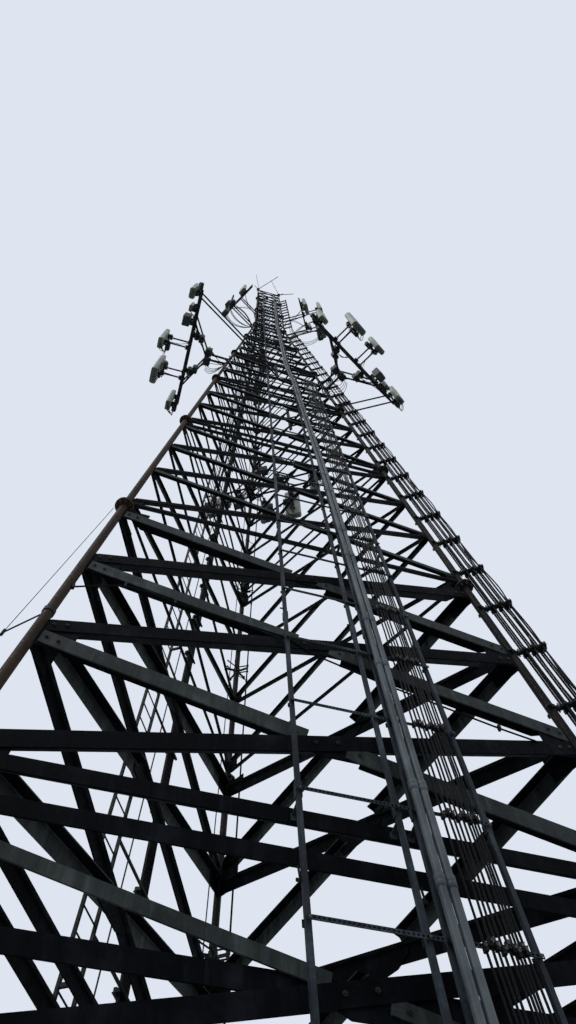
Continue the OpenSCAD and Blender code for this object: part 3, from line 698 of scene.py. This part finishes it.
def make_thin_wires():
    arms = bmesh.new()
    for z in EARTH_ARM_Z:
        rod(arms, leg_point("left", 0, 0, z + 0.02), leg_point("left", *EARTH_ARM, z - 0.03), 0.005)
        rod(arms, leg_point("left", *EARTH_ARM, z - 0.055), leg_point("left", *EARTH_ARM, z), 0.009)
        leg_clamp(arms, "left", z, 0.006, 0.04)
    for z in steps(BACK_ARM_Z[0], HALF_SECTION, BACK_ARM_Z[1]):
        rod(arms, leg_point("back", 0, 0, z), leg_point("back", *BACK_LINE, z), 0.0045)
        eye = at(*leg_point("back", *BACK_LINE, z - 0.02))
        disc(arms, eye, BACK_LINE_R + 0.004, 0.04, 10)
        leg_clamp(arms, "back", z, 0.005, 0.024)
    for x, z in CLIPPED[::2]:
        box(arms, front_at(x, CLIP_OUT - 0.004, z + 0.012), (0.014, 0.022, 0.04))
    keep("wire_arms_and_clips", arms, shaded_frame_steel)
    arm_tips = [leg_point("left", *EARTH_ARM, z - 0.03) for z in EARTH_ARM_Z]
    earth = [leg_point("left", *EARTH_FOOT), *arm_tips, leg_point("left", *EARTH_TOP)]
    clipped = [side_point("front", x, CLIP_OUT, z) for x, z in CLIPPED]
    line = [leg_point("back", *BACK_LINE, z) for z in BACK_LINE_Z]
    cables("thin_wires", [(EARTH_R, earth), (CLIPPED_R, clipped), (BACK_LINE_R, line)], "POLY")


make_leg_fasteners()
make_step_pegs()
make_thin_wires()

# Front cable ladder: rails and their splices and stays, perforated rungs, cables and conduits
LADDER_OUT = 0.091
LADDER_FOOT = 0.15
RAIL_W = 0.022
RAILS = (-0.195, 0.245, 0.325, 0.665)
RAIL_END_GAP = 0.0002
RUNG_FOOT = 0.672
RUNG_GAP = 0.6265
RUNG_H = 0.020
RUNG_T = 0.003
RUNG_DEEP = 0.016
RUNG_OUT = LADDER_OUT + RAIL_W / 2 + RUNG_DEEP
WIDE_TOP = 13.7
LADDER_TOP = 27.6
HOLE_PITCH = 0.018
HOLE_R = 0.0062
COAX_X = (0.442, 0.468, 0.490, 0.512, 0.536, 0.554, 0.570, 0.585, 0.602)
COAX_R = 0.007
FRONT_COAX_R = 0.005
FRONT_COAX_TOP = 13.6
CABLE_FOOT = 0.12
CONDUIT_X = (0.332, 0.375)
CONDUIT_R = 0.018
CONDUIT_OUT = RUNG_OUT + CONDUIT_R + 0.0012
CONDUIT_ROUTE = ((CABLE_FOOT, 0), (5.0, 0), (8.0, -0.022), (11.0, -0.077), (12.9, -0.107), (14.5, -0.185),
                 (KINK_Z, -0.185), (26.5, -0.185))
COUPLING_STARTS = (1.273, 1.791)
COUPLING_TOP = 22
# A coupling's outline: how far over the conduit, and its height
COUPLING = ((0, -0.028), (0.004, -0.026), (0.004, -0.003), (0.0025, 0), (0.004, 0.003), (0.004, 0.026),
            (0, 0.028))
# Pegs on the rails, each with its side, and hooks under them
RAIL_PEGS = ((-0.195, 4.808, -1), (0.245, 4.787, -1), (-0.195, 6.7, 1), (0.245, 7.9, 1))
HOOK_X = (-0.215, 0.272)
HOOK_Z = 2.80


RUNGS = steps(RUNG_FOOT, RUNG_GAP, LADDER_TOP - 0.1)
WIDE_RUNGS = [z for z in RUNGS if z < WIDE_TOP - 0.1]


def shift_at(route, z):
    """How far across a route is at a height."""
    for (z1, s1), (z2, s2) in zip(route, route[1:]):
        if z1 <= z <= z2:
            return s1 + (s2 - s1) * (z - z1) / (z2 - z1)
    return route[-1][1]


def add_copy(bm, mesh, place):
    copy = mesh.copy()
    copy.transform(place)
    bm.from_mesh(copy)
    bpy.data.meshes.remove(copy)


def perforated_strip(length):
    """The mesh of a strip with a row of round holes: one cell repeated, closed by the holes' own walls."""
    cell = bmesh.new()
    for y in (0, RUNG_T):
        inner = bmesh.ops.create_circle(cell, segments=8, radius=HOLE_R, matrix=at(0, y, 0) @ turned(90, "X"))
        outer = [cell.verts.new((x * HOLE_PITCH / 2, y, z * RUNG_H / 2)) for x, z in
                 ((1, 0), (1, 1), (0, 1), (-1, 1), (-1, 0), (-1, -1), (0, -1), (1, -1))]
        ring = [cell.edges.new((outer[i], outer[(i + 1) % 8])) for i in range(8)]
        hole = list({e for v in inner["verts"] for e in v.link_edges})
        bmesh.ops.bridge_loops(cell, edges=ring + hole)
    holes = [e for e in cell.edges if e.is_boundary and all(v.co.xz.length < HOLE_R * 1.1 for v in e.verts)]
    bmesh.ops.bridge_loops(cell, edges=holes)
    for z in (-1, 1):
        rim = [e for e in cell.edges if e.is_boundary and all(v.co.z * z > RUNG_H * 0.49 for v in e.verts)]
        bmesh.ops.bridge_loops(cell, edges=rim)
    mesh = bpy.data.meshes.new("strip")
    cell.to_mesh(mesh)
    cell.free()
    strip = bmesh.new()
    count = round(length / HOLE_PITCH)
    for i in range(count):
        add_copy(strip, mesh, at((i - (count - 1) / 2) * HOLE_PITCH, 0, 0))
    bmesh.ops.remove_doubles(strip, verts=strip.verts, dist=1e-5)
    bmesh.ops.holes_fill(strip, edges=[e for e in strip.edges if e.is_boundary], sides=0)
    strip.to_mesh(mesh)
    strip.free()
    return mesh


def add_rails(bm):
    for i, x in enumerate(RAILS):
        breaks = (LADDER_FOOT, WIDE_TOP, KINK_Z, LADDER_TOP) if i < 2 else (LADDER_FOOT, WIDE_TOP)
        for low, high in zip(breaks, breaks[1:]):
            a, b = (side_point("front", x, LADDER_OUT, z) for z in (low + RAIL_END_GAP, high - RAIL_END_GAP))
            bar(bm, a, b, Vector((0, -1, 0)), RAIL_W, RAIL_W)
            for z in steps(low, HALF_SECTION, high)[1:]:
                box(bm, front_at(x, LADDER_OUT, z), (RAIL_W + 0.008, RAIL_W + 0.004, 0.09))
        for k in range(1, int(breaks[-1] / SECTION_H)):
            place = on_side("front", k * SECTION_H) @ at(x, 0, CROSS_PLACE[0])
            near = GUSSET_T / 2 + brace_size(BRACE_T, k)
            far = LADDER_OUT - RAIL_W / 2 + SEAT
            box(bm, place @ at(0, -(near + far) / 2, 0), (0.02, far - near, 0.006))
            box(bm, place @ at(0, -near - 0.003, -0.012), (0.03, 0.006, 0.036))


def make_front_ladder():
    bm = bmesh.new()
    add_rails(bm)
    for right, heights in ((RAILS[3], WIDE_RUNGS), (RAILS[1], RUNGS[len(WIDE_RUNGS):])):
        middle, length = (right + RAILS[0]) / 2, right - RAILS[0] + RAIL_W
        strip = perforated_strip(length)
        for z in heights:
            add_copy(bm, strip, front_at(middle, RUNG_OUT, z + RUNG_H / 2))
            shelf = front_at(middle, RUNG_OUT - RUNG_DEEP / 2 - RUNG_T / 2, z + RUNG_H - 0.001)
            box(bm, shelf, (length, RUNG_DEEP - RUNG_T, 0.0022))
        bpy.data.meshes.remove(strip)
    keep("perforated_cable_ladder", bm, fitting_steel, replaced=["front_cable_ladder"])


def make_rung_fasteners():
    bolts, clips = bmesh.new(), bmesh.new()
    for z in RUNGS:
        for x in RAILS if z in WIDE_RUNGS else RAILS[:2]:
            bolt(bolts, front_at(x, RUNG_OUT, z + RUNG_H / 2) @ OUTWARD, 0.006, 0.004)
            box(clips, front_at(x, LADDER_OUT - RAIL_W / 2 - 0.002, z + 0.01), (0.034, 0.004, 0.03))
    for z in WIDE_RUNGS:
        for x in CONDUIT_X:
            place = front_at(x + shift_at(CONDUIT_ROUTE, z), CONDUIT_OUT, z + RUNG_H / 2)
            for s in (-1, 1):
                box(clips, place @ at(s * (CONDUIT_R + 0.006), CONDUIT_R, 0), (0.012, 0.004, 0.014))
        for i, x in enumerate(COAX_X):
            lift = 0.012 * ((i * 5) % 3 - 1)
            spot = side_point("front", x, RUNG_OUT + COAX_R, z + RUNG_H / 2) + Vector((0, 0, lift))
            box(clips, at(*spot), (0.0145, 0.020, 0.034))
            tip = spot + Vector((0.004 * ((i % 2) * 2 - 1), -0.010, 0))
            rod(bolts, tip, tip + Vector((0, -0.016, 0.004)), 0.0028, 6)
            bolt(bolts, at(*tip) @ at(0, -0.004, 0) @ OUTWARD, 0.0062, 0.004)
    for x, z, s in RAIL_PEGS:
        place = front_at(x, LADDER_OUT + 0.006, z)
        rod(clips, *placed(place, (-s * 0.012, 0, 0), (s * 0.034, 0, -0.006)), 0.005)
    for x in HOOK_X:
        place = front_at(x, LADDER_OUT - 0.006, HOOK_Z)
        rod(clips, *placed(place, (0, 0, 0), (0.006, 0, -0.06)), 0.005)
        box(clips, place @ at(0.002, 0, -0.062), (0.026, 0.008, 0.012))
    keep("ladder_bolts", bolts, bolt_steel)
    keep("ladder_clips_and_hangers", clips, shaded_frame_steel)


def make_front_cables():
    """Thin cables held at each rung, bending a little between them."""
    rungs = [z + RUNG_H / 2 for z in WIDE_RUNGS if z < FRONT_COAX_TOP - 0.2]
    heights = [CABLE_FOOT, *rungs, FRONT_COAX_TOP]
    held_out, free_out = RUNG_OUT + FRONT_COAX_R + 0.001, RUNG_OUT + FRONT_COAX_R + 0.004
    routes = []
    for n, x in enumerate(COAX_X):
        points = [side_point("front", x, held_out, CABLE_FOOT)]
        for m, (low, high) in enumerate(zip(heights, heights[1:])):
            drift = 0.004 * ((m * 5 + n * 3) % 4 - 1.5)
            points.append(side_point("front", x + drift, free_out, (low + high) / 2))
            points.append(side_point("front", x, held_out, high))
        routes.append((FRONT_COAX_R, points))
    cables("front_cables", routes, replaced=["front_coax_cables"])


def make_conduit_couplings():
    bm = bmesh.new()
    outline = [(CONDUIT_R + over, z) for over, z in COUPLING]
    for x in CONDUIT_X:
        for start in COUPLING_STARTS:
            for z in steps(start, HALF_SECTION, COUPLING_TOP):
                turned_shape(bm, front_at(x + shift_at(CONDUIT_ROUTE, z), CONDUIT_OUT, z), outline, 16)
    keep("conduit_couplings", bm, pale_conduit, smooth=True)


make_front_ladder()
make_rung_fasteners()
make_front_cables()
make_conduit_couplings()

# Right leg: hangers at each bracket, and loose cables beside the tied ones
BRACKET_FOOT = 0.7
BRACKET_GAP = 0.625
BRACKET_L = 0.245
BRACKET_TOP = 28.6
FLANGE_CLEAR = 0.03
LEG_CABLES = ((0.084, 13.4), (0.100, 13.4), (0.116, 20.0), (0.146, 13.4), (0.162, 23.0), (0.192, 13.4),
              (0.208, 28.6), (0.232, 28.6))
LEG_CABLE_ACROSS = 0.018 + COAX_R + 0.0006
LOOSE = ((0.094, 20.0), (0.152, 13.4), (0.218, 28.6))
LOOSE_ACROSS = -0.020
LOOSE_R = 0.0055
SWAY = (0.0, 0.012, -0.008, 0.003, -0.014, 0.022, -0.004, 0.006, -0.002)


def bracket_heights(top):
    return [z for z in steps(BRACKET_FOOT, BRACKET_GAP, top)
            if abs(z - SECTION_H * round(z / SECTION_H)) > FLANGE_CLEAR]


def make_right_leg_hangers():
    clips, bolts = bmesh.new(), bmesh.new()
    for z in bracket_heights(BRACKET_TOP):
        place = on_leg("right", z)
        for n, (out, top) in enumerate(LEG_CABLES):
            if z <= top:
                lift = 0.010 * ((n * 4) % 3 - 1)
                box(clips, place @ at(out, LEG_CABLE_ACROSS + 0.004, lift), (0.0158, 0.030, 0.030))
                tip = place @ at(out, LEG_CABLE_ACROSS + 0.019, lift) @ turned(-90, "X")
                disc(bolts, tip, 0.005, 0.010, 6)
        for out, top in LOOSE:
            if z < top:
                box(clips, place @ at(out, LOOSE_ACROSS, -0.004), (0.019, 0.026, 0.024))
        if z < BRACKET_TOP - 0.6:
            box(clips, place @ at(BRACKET_L - 0.004, 0, 0), (0.008, 0.05, 0.034))
            for s in (-1, 1):
                disc(bolts, place @ at(leg_r_at(z) + 0.02, s * 0.021, -0.016), 0.006, 0.032, 6)
                box(clips, place @ at(-0.01, s * (leg_r_at(z) + 0.016), 0), (0.03, 0.018, 0.022))
    keep("leg_cable_hangers", clips, shaded_frame_steel)
    keep("leg_hanger_bolts", bolts, bolt_steel)


def make_loose_leg_cables():
    routes = []
    for n, (out, top) in enumerate(LOOSE):
        heights = bracket_heights(top)
        points = []
        for m, (low, high) in enumerate(zip(heights, heights[1:])):
            points.append(leg_point("right", out, LOOSE_ACROSS, low))
            sway = SWAY[(m * 3 + n * 2) % len(SWAY)]
            for share, drift in ((0.33, sway * 1.6), (0.66, sway)):
                points.append(leg_point("right", out + drift, LOOSE_ACROSS, low + (high - low) * share))
        points.append(leg_point("right", out, LOOSE_ACROSS, heights[-1]))
        routes.append((LOOSE_R, points))
    cables("loose_leg_cables", routes)


make_right_leg_hangers()
make_loose_leg_cables()

# Left rear side: clamps on the cable bundle and more cables over it
LEFT_ROUTE = ((CABLE_FOOT, -0.610), (3.45, -0.550), (6.1, -0.450), (14.0, -0.290), (20.3, -0.200))
LEFT_OUT = LADDER_OUT + 0.009 + COAX_R + 0.0012
LEFT_CABLES = 4
LEFT_CABLE_R = 0.008
LEFT_CLAMP_Z = (0.4, 20)


def make_left_bundle():
    clips = bmesh.new()
    heights = steps(LEFT_CLAMP_Z[0], RUNG_GAP, LEFT_CLAMP_Z[1])
    for z in heights:
        place = (at(*side_point("left", shift_at(LEFT_ROUTE, z) + 0.05, LEFT_OUT + 0.006, z))
                 @ turned(SIDES["left"]))
        box(clips, place, (0.140, 0.044, 0.022))
        for s in (-1, 0, 1):
            box(clips, place @ at(s * 0.046, -0.022, 0.004), (0.030, 0.020, 0.040))
            disc(clips, place @ at(s * 0.046, -0.03, 0.004) @ OUTWARD, 0.006, 0.014, 6)
    keep("left_bundle_clamps", clips, shaded_frame_steel)
    routes = []
    for n in range(LEFT_CABLES):
        shift = 0.012 + 0.024 * n
        routes.append((LEFT_CABLE_R, [side_point("left", shift_at(LEFT_ROUTE, z) + shift, LEFT_OUT + 0.016, z)
                                      for z in [LADDER_FOOT] + heights]))
    cables("left_bundle_cables", routes, "POLY")


make_left_bundle()

# Antenna levels, as in the solids: across, out, and the panel's width, height and depth
LEVEL_Z = (14.0, 20.5, 23.5)
REACH = (0.725, 0.825, 0.640)
SECTOR_TURN = -30
APEX_OUT = 0.375
ARM_SPREAD = 0.605
FACE_GAP = 0.5
FACE_FOOT = -FACE_GAP / 2
MAST_X = 0.0373
PANEL_X = 0.0836
LOWER_MASTS = ((-0.94, 0, 0.18, 0.82, 0.09), (-0.44, 0.325, 0.29, 1.15, 0.11),
               (0.11, 0.345, 0.20, 0.90, 0.09), (0.54, 0, 0.17, 0.42, 0.12), (0.77, 0, 0.12, 0.38, 0.06),
               (1.045, 0, 0.19, 0.76, 0.095))
RADIO_MAST = 3
BARE_MAST = 4
UPPER_MASTS = (("back", -0.235, 0, 0.30, 1.30, 0.10), ("back", 0.30, 0, 0.15, 0.80, 0.08),
               ("left", 0.215, 0, 0.25, 0.90, 0.09), ("left", -0.44, 0, 0.13, 0.70, 0.08),
               ("right", -0.235, 0, 0.33, 1.40, 0.10), ("right", -0.02, 0.4, 0.33, 1.30, 0.10),
               ("right", 0.38, 0, 0.13, 0.70, 0.08))
POLE_PANELS = (("back", 0.30, 1.30, 0.10), ("right", 0.33, 1.50, 0.10))
POLE_R = 0.025
MAST_R = 0.018
MAST_BACK = -0.0463
WIDE_PANEL = 0.16
RADIO_FINS = 7
LEAD_R = 0.005
JUMPER_R = 0.0055
FEED_R = 0.006


class AntennaTrim:
    """Caps, connectors, brackets, radio units and jumper cables for panels on masts."""

    def __init__(self):
        self.caps = bmesh.new()
        self.steel = bmesh.new()
        self.radios = bmesh.new()
        self.jumpers = []

    def radio(self, place, d, w, h):
        box(self.radios, place, (d * 0.55, w, h))
        for i in range(RADIO_FINS):
            y = (i - (RADIO_FINS - 1) / 2) * w / (RADIO_FINS + 0.2)
            for s in (-1, 1):
                box(self.radios, place @ at(s * d * 0.38, y, 0), (d * 0.24, 0.004, h * 0.92))
        box(self.radios, place @ at(0, 0, -h / 2 - 0.006), (d * 0.8, w * 0.9, 0.012))
        for y in (-0.3, 0, 0.3):
            disc(self.steel, place @ at(0, y * w, -h / 2 - 0.030), 0.007, 0.020, 8)

    def panel(self, place, w, h, d, n, with_radio=True):
        """place is in the middle of the panel's back, X the way it faces; the mast stands behind it."""
        side = 1 if n % 2 else -1
        box(self.caps, place @ at(d / 2, 0, -h / 2 - 0.003), (d * 0.9, w * 0.9, 0.010))
        for s in (-1, 1):
            spot = place @ at(-0.02, 0, s * h / 3)
            box(self.steel, spot, (0.05, 0.09, 0.018))
            box(self.steel, spot @ at(-0.052, 0, 0), (0.012, 0.085, 0.04))
            bolt_pair(self.steel, spot, -0.062, 0.012, 0.034, 0.0045)
        radio_spot = place @ at(MAST_BACK - 0.01, 0.115 * side, -0.05)
        if with_radio:
            self.radio(radio_spot, 0.08, 0.11, 0.18)
            box(self.steel, place @ at(MAST_BACK, 0.04 * side, -0.05), (0.03, 0.05, 0.10))
        count = 4 if w > WIDE_PANEL else 2
        for i in range(count):
            y = (i - (count - 1) / 2) * w * 0.72 / count
            disc(self.steel, place @ at(d / 2, y, -h / 2 - 0.026), 0.0085, 0.024, 8)
            drop = 0.10 + 0.035 * ((i * 3 + n) % 4)
            aside = (0.10 + 0.02 * i) * side
            points = placed(place, (d / 2, y, -h / 2), (d / 2, y, -h / 2 - drop * 0.7),
                            (0, y + aside * 0.4, -h / 2 - drop),
                            (MAST_BACK - 0.02, aside, -h / 2 - drop * 0.6),
                            (MAST_BACK - 0.01, aside * 1.1, -h / 4 - 0.06))
            if with_radio:
                points += placed(radio_spot, (0, (i - 1.5) * 0.03, -0.13))
            else:
                points += placed(place, (MAST_BACK - MAST_R, 0.01 * i, -h / 2 + 0.2))
            self.jumpers.append((JUMPER_R, points))

    def clamp(self, place):
        box(self.steel, place, (0.06, 0.075, 0.05))
        bolt_pair(self.steel, place, -0.045, 0.045, 0.028, 0.005)

    def loop(self, r, place, a, b, sag, push):
        """A slack cable between two places, sagging, with its middle pushed aside."""
        points = []
        for share in [i / 6 for i in range(7)]:
            bend = 4 * share * (1 - share)
            points.append(place @ (Vector(a).lerp(Vector(b), share) + bend * Vector((*push, -sag))))
        self.jumpers.append((r, points))

    def keep(self, name):
        keep(f"{name}_caps", self.caps, antenna_back)
        keep(f"{name}_brackets", self.steel, shaded_frame_steel)
        keep(f"{name}_radios", self.radios, radio_grey)
        cables(f"{name}_jumpers", self.jumpers)


def dress_lower_mast(trim, place, hub, n):
    """One mast's panel or radio unit, its clamps, and a lead along the frame to the leg."""
    across, out, w, h, d = LOWER_MASTS[n]
    face = REACH[0]
    back = place @ at(face + PANEL_X + out, across, 0)
    if n == RADIO_MAST:
        for i in range(6):
            box(trim.radios, back @ at(d + 0.004, (i - 2.5) * w / 6, 0), (0.012, 0.004, h * 0.9))
    else:
        trim.panel(back, w, h, d, n, with_radio=n != BARE_MAST)
    for level in (FACE_FOOT, -FACE_FOOT):
        trim.clamp(place @ at(face + (0.02 if out else MAST_X), across, level))
        if out:
            trim.clamp(place @ at(face + MAST_X + out - 0.01, across, level))
    side = 1 if across > 0 else -1
    lead = placed(place, (face + out, across, -0.16), (face - 0.02, across, FACE_FOOT),
                  (face - 0.02, side * ARM_SPREAD * 0.8, FACE_FOOT - 0.03),
                  (APEX_OUT + 0.03, side * 0.05, FACE_FOOT - 0.035), (0.10, -0.03, FACE_FOOT - 0.04))
    lead += placed(hub, (0.045, 0.03, FACE_FOOT - 0.25), (0.12, 0.03, FACE_FOOT - 1.1))
    trim.jumpers.append((LEAD_R, lead))


def dress_lower_level(leg):
    trim = AntennaTrim()
    place = upright_on_leg(leg, LEVEL_Z[0], SECTOR_TURN)
    hub = upright_on_leg(leg, LEVEL_Z[0])
    for n in range(len(LOWER_MASTS)):
        dress_lower_mast(trim, place, hub, n)
    face = REACH[0]
    for y, level in ((-0.34, 0.02), (0.30, 0.03)):
        trim.radio(place @ at(face - 0.09, y, level), 0.08, 0.12, 0.22)
        trim.clamp(place @ at(face - 0.03, y, 0))
        for i in range(3):
            trim.loop(LEAD_R, place, (face - 0.10, y - 0.04 + 0.04 * i, level - 0.16),
                      (face + 0.01, y + 0.22 - 0.03 * i, FACE_FOOT - 0.03), 0.16 + 0.03 * i, (-0.03, 0))
    for y in (-0.10, 0.10):
        trim.radio(place @ at(APEX_OUT + 0.17, y * 2.8, 0.0), 0.09, 0.12, 0.24)
        for i in range(4):
            trim.loop(LEAD_R, place, (APEX_OUT, y * (1.2 + 0.3 * i), -0.12),
                      (0.06, 0.02 * i - 0.03, FACE_FOOT - 0.1 * i), 0.14 + 0.05 * i, (0.02, y * 0.5))
    for level in (FACE_FOOT, -FACE_FOOT):
        ring = on_leg(leg, LEVEL_Z[0] + level)
        for up in (0.015, -0.015):
            bolt_pair(trim.steel, ring @ at(0, 0, up), -0.06, 0.06, 0.05, 0.007)
        box(trim.steel, ring @ at(-0.052, 0, 0), (0.016, 0.13, 0.07))
    trim.keep(f"lower_{leg}")


def dress_upper_levels():
    trim = AntennaTrim()
    for n, (leg, across, out, w, h, d) in enumerate(UPPER_MASTS):
        place = upright_on_leg(leg, LEVEL_Z[2])
        face = REACH[2]
        trim.panel(place @ at(face + PANEL_X + out, across, 0), w, h, d, n)
        for level in (FACE_FOOT, -FACE_FOOT):
            trim.clamp(place @ at(face + 0.02, across, level))
        for i in range(2):
            lead = placed(place, (face + out, across, -0.2), (face - 0.02, across * 0.8, -0.29),
                          (face * 0.5, 0.03 - 0.05 * i, -0.31), (0.05, 0.02 * i, -0.34),
                          (0.05, 0.02 * i, -1.2))
            trim.jumpers.append((FEED_R, lead))
    for n, (leg, w, h, d) in enumerate(POLE_PANELS):
        place = upright_on_leg(leg, LEVEL_Z[1])
        trim.panel(place @ at(REACH[1] + POLE_R + 0.0283, 0, 0), w, h, d, n)
    for leg in LEGS:
        place = upright_on_leg(leg, LEVEL_Z[1]) @ at(REACH[1], 0, 0)
        for level, side in ((-1.05, -0.12), (-0.55, 0.12), (0.75, -0.12)):
            trim.radio(place @ at(0, side, level), 0.13, 0.17, 0.32)
            trim.clamp(place @ at(0, side * 0.3, level))
            for i in range(3):
                trim.loop(FEED_R, place, (0, side * (0.7 + 0.2 * i), level - 0.17),
                          (0.06 - REACH[1], 0.02 * i, -0.30 - 0.1 * i), 0.12 + 0.06 * i, (0, side))
        for level in (FACE_FOOT, -FACE_FOOT):
            trim.clamp(place @ at(0, 0, level))
    trim.keep("upper")


for leg in LEGS:
    dress_lower_level(leg)
dress_upper_levels()

# Top: lamps with ribbed lenses and caps, each with its height over the legs' heads, radius and height
LEG_LAMP = (0.15, 0.030, 0.084)
MIDDLE_LAMP = (0.056, 0.062, 0.150)
LENS_RIBS = 6
LAMP_BASE_H = 0.012
ARM_LAMP = (0.167, 0.053)
ARM_LENS = ((0, 0), (0.011, 0.003), (0.0165, 0.012), (0.0165, 0.026), (0, 0.034))


def add_lamp(lens, caps, head, up, r, h):
    place = at(*head) @ at(0, 0, up)
    outline = [(0, LAMP_BASE_H), (r * 0.86, LAMP_BASE_H)]
    for i in range(LENS_RIBS):
        low = LAMP_BASE_H + h * 0.62 * i / LENS_RIBS
        outline += [(r * 0.92, low + 0.001), (r * 0.98, low + h * 0.05), (r * 0.92, low + h * 0.1)]
    outline += [(r * 0.75, h * 0.84), (r * 0.4, h * 0.93), (0, h * 0.94)]
    turned_shape(lens, place, outline)
    turned_shape(caps, place, [(0, 0), (r, 0), (r, LAMP_BASE_H), (r * 0.9, 0.014), (0, 0.014)])
    cap = [(0, 0), (r * 0.5, 0), (r * 0.42, h * 0.05), (0, h * 0.07)]
    turned_shape(caps, place @ at(0, 0, h * 0.93), cap)
    for i in range(4):
        rod(caps, *placed(place @ turned(90 * i), (r * 0.96, 0, 0.01), (r * 0.5, 0, h * 0.93)), 0.0022, 6)


def make_lamps():
    lens, caps = bmesh.new(), bmesh.new()
    for leg in ("left", "right"):
        add_lamp(lens, caps, leg_point(leg, 0, 0, TOWER_H), *LEG_LAMP)
    add_lamp(lens, caps, AXIS + Vector((0, 0, TOWER_H)), *MIDDLE_LAMP)
    for leg in ("left", "right"):
        end = leg_point(leg, ARM_LAMP[0], 0, TOWER_H + ARM_LAMP[1])
        turned_shape(lens, at(*end), ARM_LENS, 12)
    keep("lamp_lenses", lens, lamp_red, ["beacon_lamps"], smooth=True)
    keep("lamp_caps", caps, shaded_frame_steel)


make_lamps()


# Stage: floor, world and lamps
def make_floor():
    bm = bmesh.new()
    bmesh.ops.create_grid(bm, x_segments=1, y_segments=1, size=60)
    mesh = bpy.data.meshes.new("floor")
    bm.to_mesh(mesh)
    bm.free()
    floor = bpy.data.objects.new("floor", mesh)
    bpy.context.collection.objects.link(floor)
    finish = Finish("pale_floor")
    finish.colour(finish.ramp(finish.noise(0.6, 3), ((0.3, srgb(196, 198, 200)), (0.7, srgb(206, 208, 210)))))
    finish.roughness(finish.ramp(finish.noise(3, 2), ((0.3, 0.85), (0.7, 0.95))))
    mesh.materials.append(finish.material)


def make_world():
    """A soft light on the tower, and a pale sky where a ray sees it."""
    world = bpy.data.worlds.new("world")
    bpy.context.scene.world = world
    world.use_nodes = True
    tree = world.node_tree
    tree.nodes.clear()
    paths = add_node(tree, "LightPath", {})
    seen = paths.outputs["Is Camera Ray"]
    for ray in ("Is Glossy Ray", "Is Transmission Ray"):
        seen = add_node(tree, "Math", {0: seen, 1: paths.outputs[ray]}, operation="MAXIMUM").outputs[0]
    light = add_node(tree, "Background", {"Color": (0.94, 0.97, 1.0, 1), "Strength": 0.6})
    back = add_node(tree, "Background", {"Color": (*srgb(222, 229, 240), 1), "Strength": 1.0})
    mix = add_node(tree, "MixShader", {0: seen, 1: light.outputs[0], 2: back.outputs[0]})
    add_node(tree, "OutputWorld", {"Surface": mix.outputs[0]})


def make_sun(name, energy, spread, direction):
    data = bpy.data.lights.new(name, "SUN")
    data.energy = energy
    data.angle = math.radians(spread)
    lamp = bpy.data.objects.new(name, data)
    lamp.rotation_mode = "QUATERNION"
    lamp.rotation_quaternion = Vector(direction).to_track_quat("-Z", "Y")
    bpy.context.collection.objects.link(lamp)


make_floor()
make_world()
make_sun("key_lamp", 1.3, 30, (0.55, 0.35, -0.75))
make_sun("fill_lamp", 0.5, 60, (-0.7, 0.3, -0.2))

bpy.context.scene.view_settings.view_transform = "Standard"
